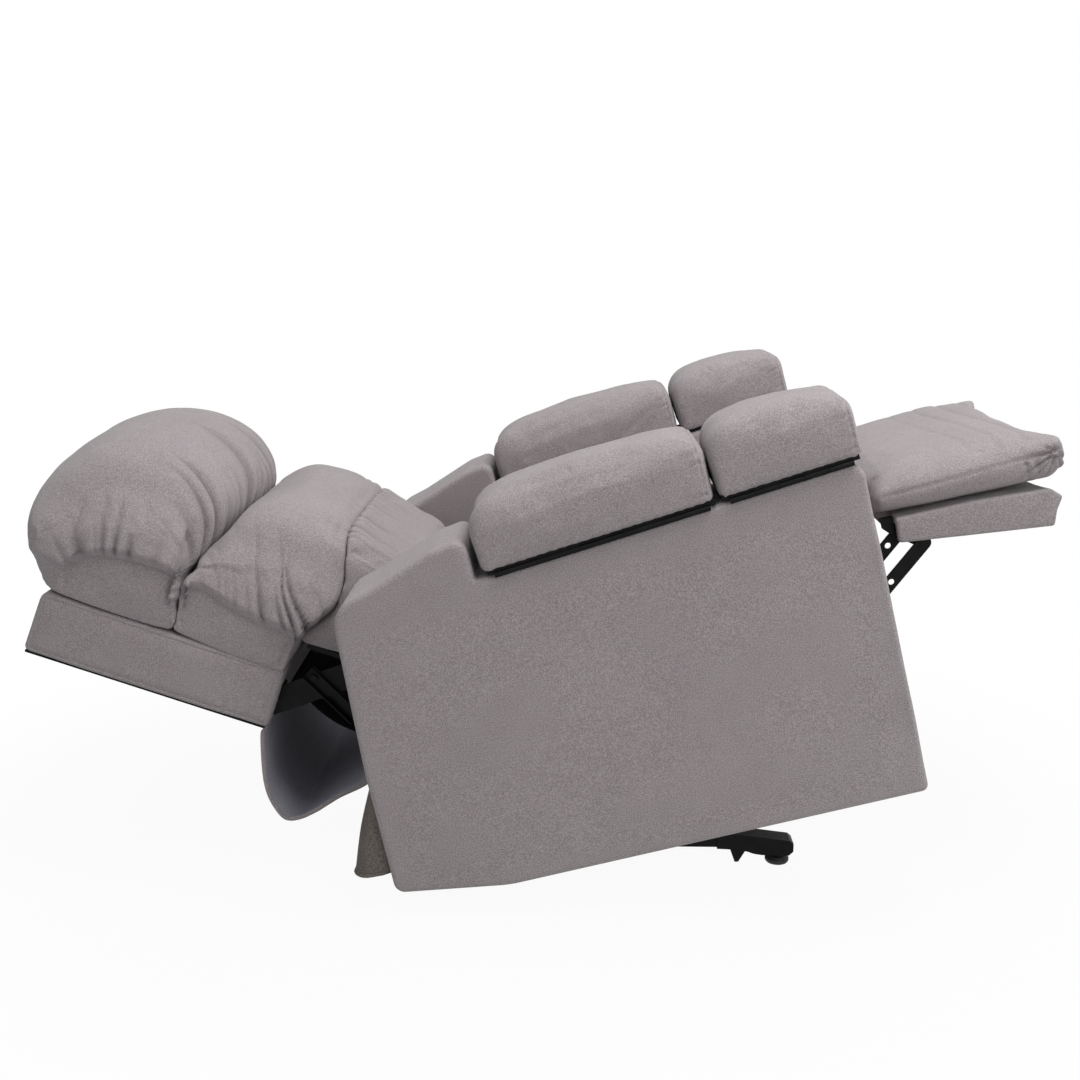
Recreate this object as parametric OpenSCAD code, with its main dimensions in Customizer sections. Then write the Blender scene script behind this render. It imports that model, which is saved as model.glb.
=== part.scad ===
// Power lift recliner chair: floor base, lift linkage, tilting chassis, reclining back, folding
// footrest and arms with padded lids. +X is the way the sitter looks, +Z is up, and the chair
// stands on Z = 0. Every piece is drawn in the level, upright chair and then turned to the
// stored pose: body tilted back, back reclined, footrest out.

/* [Pose] */
// How far the whole seat unit is tilted back, degrees
tilt_back = 14; // [0:1:14]
// How far the back is reclined from upright, degrees
recline_back = 45; // [0:1:45]

/* [Arms] */
// Clear width between the arms, where the seat and the mechanism go
seat_w = 524; // [480:2:560]
// Width of one arm box
arm_w = 168; // [150:1:190]
// Front face of the arms
arm_front_x = 548; // [530:1:570]
// Underside of the arms at the front
arm_bottom_z = 30; // [26:1:40]
// Height of the arm rail at its front end
rail_front_z = 553; // [540:1:570]
// Height of the arm rail where the rear pad starts
rail_rear_z = 512; // [500:1:525]
// Height of the wing behind the pads, at its front end
wing_z = 576; // [560:1:590]
// Height of the wing at its rear corner
wing_rear_z = 516; // [505:1:525]

/* [Arm lids] */
// Length of the rear arm pad
rear_pad_l = 354; // [320:1:360]
// Length of the front arm pad
front_pad_l = 209; // [190:1:210]
// Height of the arm pads over the rail
pad_h = 120; // [104:1:130]
// Thickness of the lid boards
lid_board_t = 9; // [6:1:12]
// Depth of the storage trays
tray_depth = 105; // [60:1:140]
// Inner radius of the cup holders
cup_r = 44; // [38:1:46]
// Depth of the cup holders
cup_depth = 78; // [50:1:100]
// Radius of the lid hinge knuckles
knuckle_r = 4; // [3:0.5:5]

/* [Seat] */
// Height of the seat's top face
seat_top_z = 490; // [470:1:510]
// Thickness of the seat cushion at its edge
seat_t = 96; // [80:1:110]
// Front end of the seat cushion
seat_front_x = 530; // [515:1:540]

/* [Back] */
// Length of the upholstered back box along the back
back_l = 411; // [380:1:440]
// Thickness of the back box
back_t = 103; // [85:1:115]
// Width of the back box
back_w = 560; // [540:2:580]
// Lean of the back box behind the upright, degrees
back_lean = 12.5; // [8:0.5:15]
// Width of the head pillow
pillow_w = 574; // [540:2:580]
// How far the head pillow stands out from the box
pillow_out = 284; // [220:2:290]
// Width of the middle and lumbar cushions
cushion_w = 514; // [460:2:516]

/* [Footrest] */
// Length of the footrest pad
foot_pad_l = 302; // [270:1:310]
// Thickness of the footrest pad at its edge
foot_pad_t = 62; // [45:1:70]
// Width of the footrest pad
foot_pad_w = 512; // [460:2:514]
// Width of the footrest board
foot_board_w = 510; // [480:2:512]
// Thickness of the footrest board at its outer end
foot_board_t = 68; // [50:1:75]

/* [Linkage plates] */
// Thickness of the footrest links
link_t = 4; // [3:0.5:4]
// Width of the footrest links
link_w = 22; // [18:1:22]
// Running gap between neighbouring links
link_gap = 1.5; // [1:0.1:1.5]
// Radius of the link rivets
rivet_r = 5; // [4:0.5:5]
// Thickness of the chassis side plates
plate_t = 4; // [3:0.5:5]
// Width of the long lift arms
lift_arm_w = 34; // [28:1:36]

/* [Base] */
// Height of the base rails
base_rail_h = 28; // [24:1:30]
// Width of the base rails
base_rail_w = 35; // [28:1:38]
// Underside of the base rails over the floor
base_rail_z = 30; // [26:1:34]
// Radius of the levelling feet
glide_r = 20; // [16:1:22]
// Height of the levelling feet's discs
glide_h = 11; // [8:1:13]

/* [Actuators] */
// Radius of the actuators' outer tubes
tube_r = 18; // [15:0.5:20]
// Radius of the actuators' rods
rod_r = 10; // [8:0.5:11]
// Radius of the gear motors
motor_r = 22; // [18:1:24]
// Length of the gear motors
motor_l = 70; // [50:1:80]

/* [Hidden] */
$fn = 32;
bore_gap = 0.05;    // radial running clearance of pins in bores
seat_gap = 0.3;     // gap between soft pieces and what carries them

// Main points of the level chair, as [x, z]
tilt_pivot = [-200, 120];
back_pivot = [-185, 378];
arm_in = seat_w / 2;
arm_out = arm_in + arm_w;
wing_x = -41;
rail_x = -21;
rail_slope = atan((rail_front_z - rail_rear_z) / (arm_front_x - rail_x));
wing_deck_z = rail_rear_z + (wing_x - rail_x) * tan(rail_slope);

// Lift linkage: long arms from the base to the rear of the lift frame, short links in front
lift_base_pivot = [200, 105];
lift_frame_pivot = [-160, 120];
front_base_pivot = [232, 90];
front_frame_pivot = [-44.3, 90.7];
arm_y = 166;        // inner face of the lift arms
lift_arm_t = 8;
ear_t = 6;
ear_y = arm_y + lift_arm_t + 2;
front_link_t = 5;
front_link_y = ear_y + ear_t + 2;
lift_pin_r = 8;
base_rail_y = 200;
lift_rail = 25;
lift_rail_z = 130;
lift_front_x = 290;
shaft_r = 11;

// Footrest linkage, open pose: two parallelograms end to end
inner_vec = [110, -70];     // inner link, chassis pivot to crossing pivot
outer_vec = [155, 126];     // outer link, crossing pivot to footrest
partner_vec = [35, -22];    // offset of the second outer link, along the inner link
tail_vec = [-39, -32];      // tail of the outer link behind the crossing pivot
drive_pivot = [347, 326];
cross_pivot = drive_pivot + inner_vec;
knee_pivot = cross_pivot + partner_vec;
tail_pivot = cross_pivot + tail_vec;
guide_pivot = drive_pivot + tail_vec;
foot_rear_pivot = cross_pivot + outer_vec;
foot_front_pivot = knee_pivot + outer_vec;
plate_y = arm_in - plate_t;                     // inner face of the chassis side plates
link_inset = 12;
function layer(n) = plate_y - link_inset - n * (link_t + link_gap);  // inner face of link layer n

// Actuators: body pivot, rod-end pivot and Y place
lift_body = [-120, 75];
lift_end = [153.5, 204.7];
tilt_body = [290, 172];
tilt_end_level = [-120, 300];
recline_body = [185, 240];
recline_end_upright = [-78, -45];               // from the back pivot, back upright
foot_body = [70, 268];
crank_vec = [34.7, -30.2];                          // footrest crank from the drive pivot
lift_act_y = 0;
tilt_act_y = 95;
recline_act_y = -95;
foot_act_y = 0;
eye_r = 13;
eye_t = 16;
act_pin_r = 5;

// Where the middle of the chair's length falls
function turn(v, a) = [v[0] * cos(a) + v[1] * sin(a), -v[0] * sin(a) + v[1] * cos(a)];
function tilted(p) = tilt_pivot + turn(p - tilt_pivot, -tilt_back);
function reclined(v) = back_pivot + turn(v, -recline_back);
function flat(v) = v / norm(v);
function lean(t, n) = [-231 - t * sin(back_lean) + n * cos(back_lean),
                       146 + t * cos(back_lean) + n * sin(back_lean)];
box_outline = rounded([[0, 0, 6], [back_l, 0, 8], [back_l - 6, back_t + 3, 14], [0, back_t, 8]]);
board_top = foot_rear_pivot[1] + 29;
pad_x0 = foot_rear_pivot[0] - 33;
foot_outline = pad_outline(pad_x0, pad_x0 + foot_pad_l, board_top + seat_gap,
    board_top + foot_pad_t + 12, 30, 30, 8);
rear_end = min([for (p = box_outline) tilted(reclined(lean(p[0], p[1])))[0]]);
front_end = max([for (p = foot_outline) tilted(p)[0]]);
shift_x = -(rear_end + front_end) / 2;

/* ---- places of the bodies ---- */
module on_base() translate([shift_x, 0, 0]) children();
module on_chassis() on_base() translate([tilt_pivot[0], 0, tilt_pivot[1]])
    rotate([0, -tilt_back, 0]) translate([-tilt_pivot[0], 0, -tilt_pivot[1]]) children();
module on_back() on_chassis() translate([back_pivot[0], 0, back_pivot[1]])
    rotate([0, -recline_back, 0]) children();
// Local x along the back's height, z away from its rear face
module on_lean() on_back() translate([-231, 0, 146]) rotate([0, -90 - back_lean, 0])
    mirror([0, 0, 1]) children();
// Local x along the arm rail, z square to it
module on_rail() on_chassis() translate([rail_x, 0, rail_rear_z])
    rotate([0, -rail_slope, 0]) children();
module both_sides() { children(); mirror([0, 1, 0]) children(); }
module on_side(side) if (side > 0) children(); else mirror([0, 1, 0]) children();

/* ---- shared shapes ---- */
// A flat profile in x and z, given its inner face y and thickness
module plate(y, t) translate([0, y + t, 0]) rotate([90, 0, 0]) linear_extrude(t) children();
module disc2(p, r) translate(p) circle(r);
// A bar with round ends from p to q
module bar2(p, q, w) {
    d = q - p;
    a = atan2(d[1], d[0]);
    polygon([for (e = [[p, 90], [q, -90]]) for (i = [0:12])
        e[0] + w / 2 * [cos(a + e[1] + 15 * i), sin(a + e[1] + 15 * i)]]);
}
// A pin along Y between y0 and y1
module pin(p, y0, y1, r) translate([p[0], y0, p[1]]) rotate([-90, 0, 0]) cylinder(h = y1 - y0, r = r);
// Points of a rounded corner
function corner(a, b, c, r, n = 5) = let (
        u = flat(a - b), v = flat(c - b), half = acos(u * v) / 2,
        m = b + flat(u + v) * r / sin(half),
        p = b + u * r / tan(half) - m, q = b + v * r / tan(half) - m,
        a0 = atan2(p[1], p[0]), d = atan2(q[1], q[0]) - a0,
        s = d > 180 ? d - 360 : d < -180 ? d + 360 : d)
    [for (i = [0:n]) m + r * [cos(a0 + s * i / n), sin(a0 + s * i / n)]];
// Outline from [x, z, radius] corners
function rounded(c) = [for (i = [0:len(c) - 1]) let (
        a = c[(i + len(c) - 1) % len(c)], b = c[i], d = c[(i + 1) % len(c)])
    each b[2] > 0 ? corner([a[0], a[1]], [b[0], b[1]], [d[0], d[1]], b[2]) : [[b[0], b[1]]]];
// Side outline of a pad: flat underside, round ends, crowned top
function pad_outline(x0, x1, z0, z1, r0, r1, crown) = concat([[x0, z0], [x1, z0]],
    [for (a = [0:22.5:90]) [x1 - r1 + r1 * cos(a), z1 - r1 + r1 * sin(a)]],
    [for (k = [1:4]) [x1 - r1 + (x0 + r0 - x1 + r1) * k / 5, z1 + crown * sin(36 * k)]],
    [for (a = [90:22.5:180]) [x0 + r0 + r0 * cos(a), z1 - r0 + r0 * sin(a)]]);
// A padded form: flat boxed sides with outline edge, swelling to outline mid at its centre;
// a larger square keeps it full further out
module padded(edge, mid, y0, y1, steps = 5, square = 3) {
    n = len(edge);
    rows = 2 * steps + 1;
    function place(i) = sin(90 * (i - steps) / steps);
    function fill(i) = sqrt(max(0, 1 - pow(abs(place(i)), square)));
    points = [for (i = [0:rows - 1]) for (j = [0:n - 1])
        let (p = edge[j] + (mid[j] - edge[j]) * fill(i))
        [p[0], (y0 + y1) / 2 + place(i) * (y1 - y0) / 2, p[1]]];
    sides = [for (i = [0:rows - 2]) for (j = [0:n - 1]) let (k = (j + 1) % n)
        [i * n + j, i * n + k, (i + 1) * n + k, (i + 1) * n + j]];
    faces = concat([[for (j = [n - 1:-1:0]) j]], sides,
        [[for (j = [0:n - 1]) (rows - 1) * n + j]]);
    polyhedron(points, faces);
}
// Side outline of a cushion on its floor: an oval above its centre c, and below it filled out to
// the reaches foot with the squareness e
function seated(c, r, floor_z, foot, e) = [for (i = [0:19])
    let (s = sin(18 * i), k = cos(18 * i), side = k < 0 ? 0 : 1)
    s > -0.01 ? [c[0] + r[0] * k, c[1] + r[1] * s]
        : [c[0] + foot[side] * sign(k) * pow(abs(k), e[side]),
            c[1] - (c[1] - floor_z) * sqrt(-s)]];
// Smooth line through hand-set points
function spline(p, n = 4) = [for (i = [0:len(p) - 2]) let (
        a = p[max(i - 1, 0)], b = p[i], c = p[i + 1], d = p[min(i + 2, len(p) - 1)])
    for (k = [0:(i == len(p) - 2 ? n : n - 1)]) let (t = k / n)
        0.5 * (2 * b + (c - a) * t + (2 * a - 5 * b + 4 * c - d) * t * t
            + (3 * b - 3 * c + d - a) * t * t * t)];
// Outline of a sheet of thickness t along a line
function sheet_outline(p, t) = let (m = len(p) - 1, nor = [for (i = [0:m])
        let (v = flat(p[min(i + 1, m)] - p[max(i - 1, 0)])) [-v[1], v[0]]])
    concat([for (i = [0:m]) p[i] + nor[i] * t / 2], [for (i = [m:-1:0]) p[i] - nor[i] * t / 2]);
// Rivet from y0 to y1 with a head past y1
module rivet(p, y0, y1, r, head = 1) {
    pin(p, min(y0, y1), max(y0, y1), r);
    if (y1 > y0) pin(p, y1, y1 + head, r * 1.5);
    else pin(p, y1 - head, y1, r * 1.5);
}
// Local x runs from p to q at the height y
module on_line(p, q, y) translate([p[0], y, p[1]])
    rotate([0, -atan2(q[1] - p[1], q[0] - p[0]), 0]) children();
// Two ears with a pin between them, around an eye at p; foot is where the ears are welded
module clevis_ears(p, foot, y, w) {
    for (s = [-1, 1]) plate(y + s * (eye_t / 2 + 3) - 2, 4) bar2(p, foot, w);
    pin(p, y - eye_t / 2 - 5, y + eye_t / 2 + 5, act_pin_r);
}
// Linear actuator's fixed half: eye, gearbox, motor lying across, outer tube of length len
module motor_half(len, side) {
    gear_x = 24;
    gear_l = 50;
    difference() {
        union() {
            pin([0, 0], -eye_t / 2, eye_t / 2, eye_r);
            translate([0, -eye_t / 2, -eye_r + 3]) cube([gear_x + 1, eye_t, 2 * eye_r - 6]);
            translate([gear_x, 0, 0]) plate(-23, 46) polygon(rounded([[0, -21, 6],
                [gear_l, -21, 6], [gear_l, 21, 6], [0, 21, 6]]));
            translate([gear_x + gear_l / 2, side * 22.9, 0]) rotate([-side * 90, 0, 0]) {
                cylinder(h = motor_l, r = motor_r - 2);
                cylinder(h = motor_l * 0.2, r = motor_r);
            }
            translate([gear_x + gear_l - 1, 0, 0]) rotate([0, 90, 0])
                cylinder(h = len - gear_x - gear_l + 1, r = tube_r);
            translate([len - 14, 0, 0]) rotate([0, 90, 0]) cylinder(h = 14, r = tube_r + 2);
        }
        pin([0, 0], -eye_t, eye_t, act_pin_r + bore_gap);
        translate([gear_x + gear_l - 12, 0, 0]) rotate([0, 90, 0])
            cylinder(h = len, r = rod_r + bore_gap);
    }
}
lever_t = 8;        // thickness of the levers that the rod forks straddle
fork_reach = 24;
// Linear actuator's rod from x0 to its fork at len
module rod_half(x0, len) {
    fork_w = lever_t + 2 * 5;
    translate([x0, 0, 0]) rotate([0, 90, 0]) cylinder(h = len - fork_reach - 6 - x0, r = rod_r);
    translate([len - fork_reach - 8, -fork_w / 2, -9]) cube([9, fork_w, 18]);
    for (s = [-1, 1]) {
        y = s * (lever_t / 2 + 1) + (s < 0 ? -4 : 0);
        plate(y, 4) bar2([len - fork_reach, 0], [len, 0], 18);
        pin([len, 0], s > 0 ? lever_t / 2 + seat_gap : -lever_t / 2 - 1.5,
            s > 0 ? lever_t / 2 + 1.5 : -lever_t / 2 - seat_gap, act_pin_r);
    }
}
steel = [0.06, 0.06, 0.07];
cloth = [0.47, 0.43, 0.42];

/* ---- base ---- */
base_x0 = -250;
base_x1 = 250;
cross_w = 25;
module base_frame() color(steel) on_base() {
    cross_x = [base_x0, lift_body[0] - cross_w / 2, front_base_pivot[0] - 35];
    both_sides() {
        translate([base_x0, base_rail_y, base_rail_z])
            cube([base_x1 - base_x0, base_rail_w, base_rail_h]);
        plate(ear_y, ear_t) {
            disc2(lift_base_pivot, 17);
            disc2(front_base_pivot, 14);
            polygon([[lift_base_pivot[0] - 17, base_rail_z + 5], [front_base_pivot[0] + 14,
                base_rail_z + 5], front_base_pivot + [14, 0], lift_base_pivot + [8, 15],
                lift_base_pivot - [17, 0]]);
        }
        pin(lift_base_pivot, arm_y + 0.5, ear_y + 1, lift_pin_r);
        rivet(front_base_pivot, ear_y + ear_t - 1, front_link_y + front_link_t + 0.5, rivet_r + 1);
    }
    for (x = cross_x) translate([x, -base_rail_y - 1, base_rail_z])
        cube([cross_w, 2 * base_rail_y + 2, base_rail_h]);
    clevis_ears(lift_body, [lift_body[0], base_rail_z + base_rail_h - 8], lift_act_y, 22);
}
foot_x = 353;
module front_foot_brackets() color(steel) on_base() both_sides()
    plate(base_rail_y + 3, base_rail_w) polygon(concat(
        [[base_x1, 58], [300, 52], [372, 43], [378, 38], [378, 24], [371, 17], [336, 17]],
        [for (a = [0:15:60]) [336 - 56 * sin(a) * 0.7, 29 - 12 * cos(a)]],
        [[297, 24], [286, 5], [280, 5], [272, 27], [base_x1, 28]]));
module levelling_feet() color(steel) on_base() both_sides()
    for (f = [[foot_x, 17], [base_x0 + 24, base_rail_z]])
        translate([f[0], base_rail_y + 3 + base_rail_w / 2, 0]) rotate_extrude()
            polygon([[0, 0], [glide_r - 2, 0], [glide_r, 3], [glide_r, glide_h - 4],
                [glide_r - 4, glide_h], [7, glide_h], [7, f[1]], [0, f[1]]]);

/* ---- lift linkage ---- */
module lift_arms() color(steel) on_base() {
    both_sides() {
        plate(arm_y, lift_arm_t) difference() {
            bar2(lift_base_pivot, lift_frame_pivot, lift_arm_w);
            disc2(lift_base_pivot, lift_pin_r + bore_gap);
            disc2(lift_frame_pivot, lift_pin_r + bore_gap);
            for (f = [0.25, 0.5, 0.75])
                disc2(lift_base_pivot + f * (lift_frame_pivot - lift_base_pivot), 8);
        }
    }
    pin(lift_base_pivot, -arm_y, arm_y, 15);
    plate(lift_act_y - lever_t / 2, lever_t) bar2(lift_base_pivot, lift_end, 20);
}
module front_lift_links() color(steel) on_base() both_sides()
    plate(front_link_y, front_link_t) difference() {
        bar2(front_base_pivot, front_frame_pivot, 24);
        disc2(front_base_pivot, rivet_r + 1 + bore_gap);
        disc2(front_frame_pivot, rivet_r + 1 + bore_gap + 0.5);
    }
module lift_frame() color(steel) on_base() {
    top = lift_rail_z + lift_rail;
    both_sides() {
        translate([tilt_pivot[0] - 14, base_rail_y, lift_rail_z])
            cube([lift_front_x + 12.5 - tilt_pivot[0] + 14, lift_rail, lift_rail]);
        plate(ear_y, ear_t) {
            disc2(tilt_pivot, 16);
            disc2(lift_frame_pivot, 16);
            disc2(front_frame_pivot, 13);
            polygon([tilt_pivot + [0, -16], lift_frame_pivot + [0, -16],
                front_frame_pivot + [2, -13], front_frame_pivot + [13, 0],
                [front_frame_pivot[0] + 30, top], [tilt_pivot[0] - 14, top],
                tilt_pivot - [16, 0]]);
        }
        plate(base_rail_y, lift_rail) disc2(tilt_pivot, 16);
        for (x = [tilt_pivot[0] - 10, front_frame_pivot[0] + 2])
            translate([x, ear_y, top - 14]) cube([20, base_rail_y + 1 - ear_y, 14]);
        rivet(lift_frame_pivot, ear_y + 1, arm_y - 0.5, lift_pin_r, 2);
        pin(front_frame_pivot, ear_y + ear_t - 1, front_link_y + front_link_t, rivet_r + 1);
    }
    pin(tilt_pivot, -arm_in + seat_gap, arm_in - seat_gap, shaft_r);
    translate([lift_front_x - 12.5, -base_rail_y - 1, lift_rail_z])
        cube([lift_rail, 2 * base_rail_y + 2, lift_rail]);
    clevis_ears(tilt_body, [tilt_body[0], top - 8], tilt_act_y, 20);
}
lift_tube_l = 245;
module lift_motor() color("dimgray") on_base() on_line(lift_body, lift_end, lift_act_y)
    motor_half(lift_tube_l, 1);
module lift_rod() color("silver") on_base() on_line(lift_body, lift_end, lift_act_y)
    rod_half(70, norm(lift_end - lift_body));
tilt_end = tilted(tilt_end_level);
tilt_tube_l = norm(tilt_end_level - tilt_body) - fork_reach - 14;
module tilt_motor() color("dimgray") on_base() on_line(tilt_body, tilt_end, tilt_act_y)
    motor_half(tilt_tube_l, 1);
module tilt_rod() color("silver") on_base() on_line(tilt_body, tilt_end, tilt_act_y)
    rod_half(140, norm(tilt_end - tilt_body));

/* ---- chassis ---- */
band_z0 = 215;
band_z1 = 345;
plate_front_x = 392;
rear_cross = [-120, 330];
mid_cross = [70, 300];
front_cross = [215, 240];
module chassis_plates() color(steel) on_chassis() both_sides() {
    plate(plate_y, plate_t) difference() {
        union() {
            bar2(tilt_pivot, back_pivot, 44);
            polygon([[tilt_pivot[0] - 18, band_z0], [300, band_z0], [plate_front_x, 290],
                [plate_front_x, band_z1], [back_pivot[0], band_z1]]);
        }
        disc2(tilt_pivot, shaft_r + bore_gap);
        for (x = [-120:105:195]) polygon(rounded([[x, band_z0 + 18, 10],
            [x + 75, band_z0 + 18, 10], [x + 75, 280, 10], [x, 280, 10]]));
    }
    rivet(back_pivot, plate_y + 1, layer(1) - 0.5, 9, 2);
    pin(drive_pivot, layer(2) - 5, plate_y + 1, rivet_r);
    rivet(guide_pivot, plate_y + 1, layer(4) - 0.5, rivet_r);
}
module cross_tubes() for (c = [rear_cross, mid_cross, front_cross])
    translate([c[0] - cross_w / 2, -plate_y, c[1] - cross_w / 2])
        cube([cross_w, 2 * plate_y, cross_w]);
module cross_members() color(steel) on_chassis() cross_tubes();
// Lever under the rear tube that the tilt rod pulls
module tilt_lever() color(steel) on_chassis() difference() {
    plate(tilt_act_y - lever_t / 2, lever_t) bar2(rear_cross, tilt_end_level, 22);
    cross_tubes();
}
// Ears on the tubes that hold the recline and footrest motors
module actuator_seats() color(steel) on_chassis() difference() {
    union() {
        clevis_ears(recline_body, front_cross - [8, 0], recline_act_y, 20);
        clevis_ears(foot_body, mid_cross - [0, 8], foot_act_y, 20);
    }
    cross_tubes();
}
box_x0 = -95;
box_x1 = 395;
box_z0 = 342;
box_top = seat_top_z - seat_t - 4;
rail_t = 22;
module seat_box() color("burlywood") on_chassis() {
    difference() {
        translate([box_x0, -plate_y, box_z0])
            cube([box_x1 - box_x0, 2 * plate_y, box_top - box_z0]);
        translate([box_x0 + rail_t, -plate_y + rail_t, box_z0 - 1])
            cube([box_x1 - box_x0 - 2 * rail_t, 2 * plate_y - 2 * rail_t, box_top - box_z0 + 2]);
    }
    // lip that carries the front of the cushion
    translate([box_x1 - 1, -240, box_top - 11]) cube([seat_front_x - 14 - box_x1 + 1, 480, 11]);
}
// Zigzag springs from the rear rail to the front rail of the seat box
spring_turns = 16;
spring_pitch = (box_x1 - box_x0 - rail_t) / spring_turns;
module seat_springs() color("gray") on_chassis() for (y = [-180:90:180]) {
    line = [for (i = [0:spring_turns])
        [box_x0 + rail_t / 2 + i * spring_pitch, y + (i % 2 == 0 ? -22 : 22)]];
    translate([0, 0, box_top]) linear_extrude(4 - seat_gap) polygon(sheet_outline(line, 4));
}
seat_rear_x = -20;
module seat_cushion() color(cloth) on_chassis() {
    z0 = seat_top_z - seat_t;
    padded(pad_outline(seat_rear_x, seat_front_x, z0, seat_top_z - 8, 25, 32, 2),
        pad_outline(seat_rear_x, seat_front_x, z0, seat_top_z, 30, 40, 9),
        -arm_in + 4, arm_in - 4);
}
module control_box() color("black") on_chassis() difference() {
    translate([mid_cross[0] - 12.5 - 90, 130, mid_cross[1] - 32]) cube([90, 84, 44]);
    for (i = [0:3]) translate([mid_cross[0] - 12.5 - 84, 140 + i * 18, mid_cross[1] - 26])
        cube([-1 + 12, 10, 14]);
}
rear_rail_x = -282;
module rear_rail() color("burlywood") on_chassis()
    translate([rear_rail_x, -arm_in, 175]) cube([18, 2 * arm_in, 60]);
skirt_t = 4;
skirt_w = 830;
skirt_line = [[-307, 200], [-321, 130], [-329, 54]];
// Hanging sheet behind the rail and the arms, with a gusset at each side
module rear_skirt() color(cloth) on_base() {
    plate(-skirt_w / 2, skirt_w) polygon(sheet_outline(spline(skirt_line), skirt_t));
    both_sides() plate(skirt_w / 2 - skirt_t, skirt_t)
        polygon([skirt_line[0] - [0, 3], skirt_line[1], skirt_line[2] + [0, 1], [-290, 62]]);
}

/* ---- arms ---- */
well_gap = 0.3;
tray_x0 = 22;
tray_x1 = rear_pad_l - 24;
tray_in = 26;       // wall of the arm left on each side of the tray
tray_wall = 3;
cup_x = rear_pad_l + 6 + front_pad_l / 2;
cup_wall = 3;
flange_t = 1.5;
arm_mid = arm_in + arm_w / 2;
module arm_shape() {
    difference() {
        on_chassis() plate(arm_in, arm_w) polygon(rounded([
            [arm_front_x, arm_bottom_z, 10], [arm_front_x, rail_front_z, 26],
            [wing_x, wing_deck_z, 3], [wing_x, wing_z, 18], [-92, wing_z - 7, 60],
            [-195, wing_z - 43, 60], [-262, wing_rear_z, 24], [-281, 250, 300], [-286, 54, 18],
            [-110, arm_bottom_z - 4, 200]]));
        on_rail() {
            translate([tray_x0, arm_in + tray_in, -tray_depth - tray_wall])
                cube([tray_x1 - tray_x0, arm_w - 2 * tray_in, tray_depth + 60]);
            translate([cup_x, arm_mid, -cup_depth - cup_wall])
                cylinder(h = cup_depth + 60, r = cup_r + cup_wall + well_gap, $fn = 48);
        }
    }
}
module tray_shape() on_rail() difference() {
    union() {
        translate([tray_x0 + well_gap, arm_in + tray_in + well_gap, -tray_depth - tray_wall + well_gap])
            cube([tray_x1 - tray_x0 - 2 * well_gap, arm_w - 2 * tray_in - 2 * well_gap,
                tray_depth + tray_wall]);
        translate([tray_x0 - 10, arm_in + tray_in - 10, 0])
            cube([tray_x1 - tray_x0 + 20, arm_w - 2 * tray_in + 20, flange_t]);
    }
    translate([tray_x0 + tray_wall, arm_in + tray_in + tray_wall, -tray_depth])
        cube([tray_x1 - tray_x0 - 2 * tray_wall, arm_w - 2 * tray_in - 2 * tray_wall,
            tray_depth + 10]);
}
module cup_shape() on_rail() translate([cup_x, arm_mid, 0]) rotate_extrude($fn = 48)
    polygon([[0, -cup_depth - cup_wall + well_gap], [cup_r + cup_wall, -cup_depth - cup_wall + well_gap],
        [cup_r + cup_wall, 0], [cup_r + 10, 0], [cup_r + 10, flange_t], [cup_r, flange_t],
        [cup_r, -cup_depth], [0, -cup_depth]]);
module arm_right() color(cloth) on_side(-1) arm_shape();
module arm_left() color(cloth) on_side(1) arm_shape();
module tray_right() color("dimgray") on_side(-1) tray_shape();
module tray_left() color("dimgray") on_side(1) tray_shape();
module cup_holder_right() color("dimgray") on_side(-1) cup_shape();
module cup_holder_left() color("dimgray") on_side(1) cup_shape();

/* ---- arm lids ---- */
board_z = flange_t + 0.3;
pad_z = board_z + lid_board_t + seat_gap;
lids = [[0, rear_pad_l], [rear_pad_l + 6, rear_pad_l + 6 + front_pad_l]];
leaf_t = 2;
hinge_y = arm_out + leaf_t + knuckle_r - 2;
hinge_pin_r = 1.8;
leaf_h = 12;
function knuckle_ends(a, b, i) = let (one = (b - a - 24) / 5)
    [a + 12 + one * i + 0.3, a + 12 + one * (i + 1) - 0.3];
module knuckle(e) translate([e[0], hinge_y, 0]) rotate([0, 90, 0])
    cylinder(h = e[1] - e[0], r = knuckle_r);
// Part of a leaf from its knuckles out to height z1, keeping clear of the other leaf's knuckles
module leaf(a, b, i0, z1) {
    z_clear = sign(z1) * (knuckle_r + 0.8);
    translate([a + 12, arm_out, min(z_clear, z1)]) cube([b - a - 24, leaf_t, abs(z1 - z_clear)]);
    for (i = [i0:2:4]) let (e = knuckle_ends(a, b, i)) {
        knuckle(e);
        translate([e[0], arm_out, min(0, z1)]) cube([e[1] - e[0], leaf_t, abs(z1)]);
        translate([e[0], arm_out + leaf_t - 1, min(0, sign(z1) * 2)])
            cube([e[1] - e[0], hinge_y - arm_out - leaf_t + 1, 2]);
    }
}
module fixed_leaves() on_rail() for (l = lids) {
    leaf(l[0], l[1], 0, -leaf_h);
    translate([l[0] + 12, hinge_y, 0]) rotate([0, 90, 0])
        cylinder(h = l[1] - l[0] - 24, r = hinge_pin_r);
}
module lid_board(l) on_rail() {
    translate([l[0] + 2, arm_in + 6, board_z])
        cube([l[1] - l[0] - 4, arm_w - 6, lid_board_t]);
    difference() {
        leaf(l[0], l[1], 1, board_z + lid_board_t - 0.5);
        translate([l[0], hinge_y, 0]) rotate([0, 90, 0])
            cylinder(h = l[1] - l[0], r = hinge_pin_r + bore_gap);
    }
}
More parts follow.
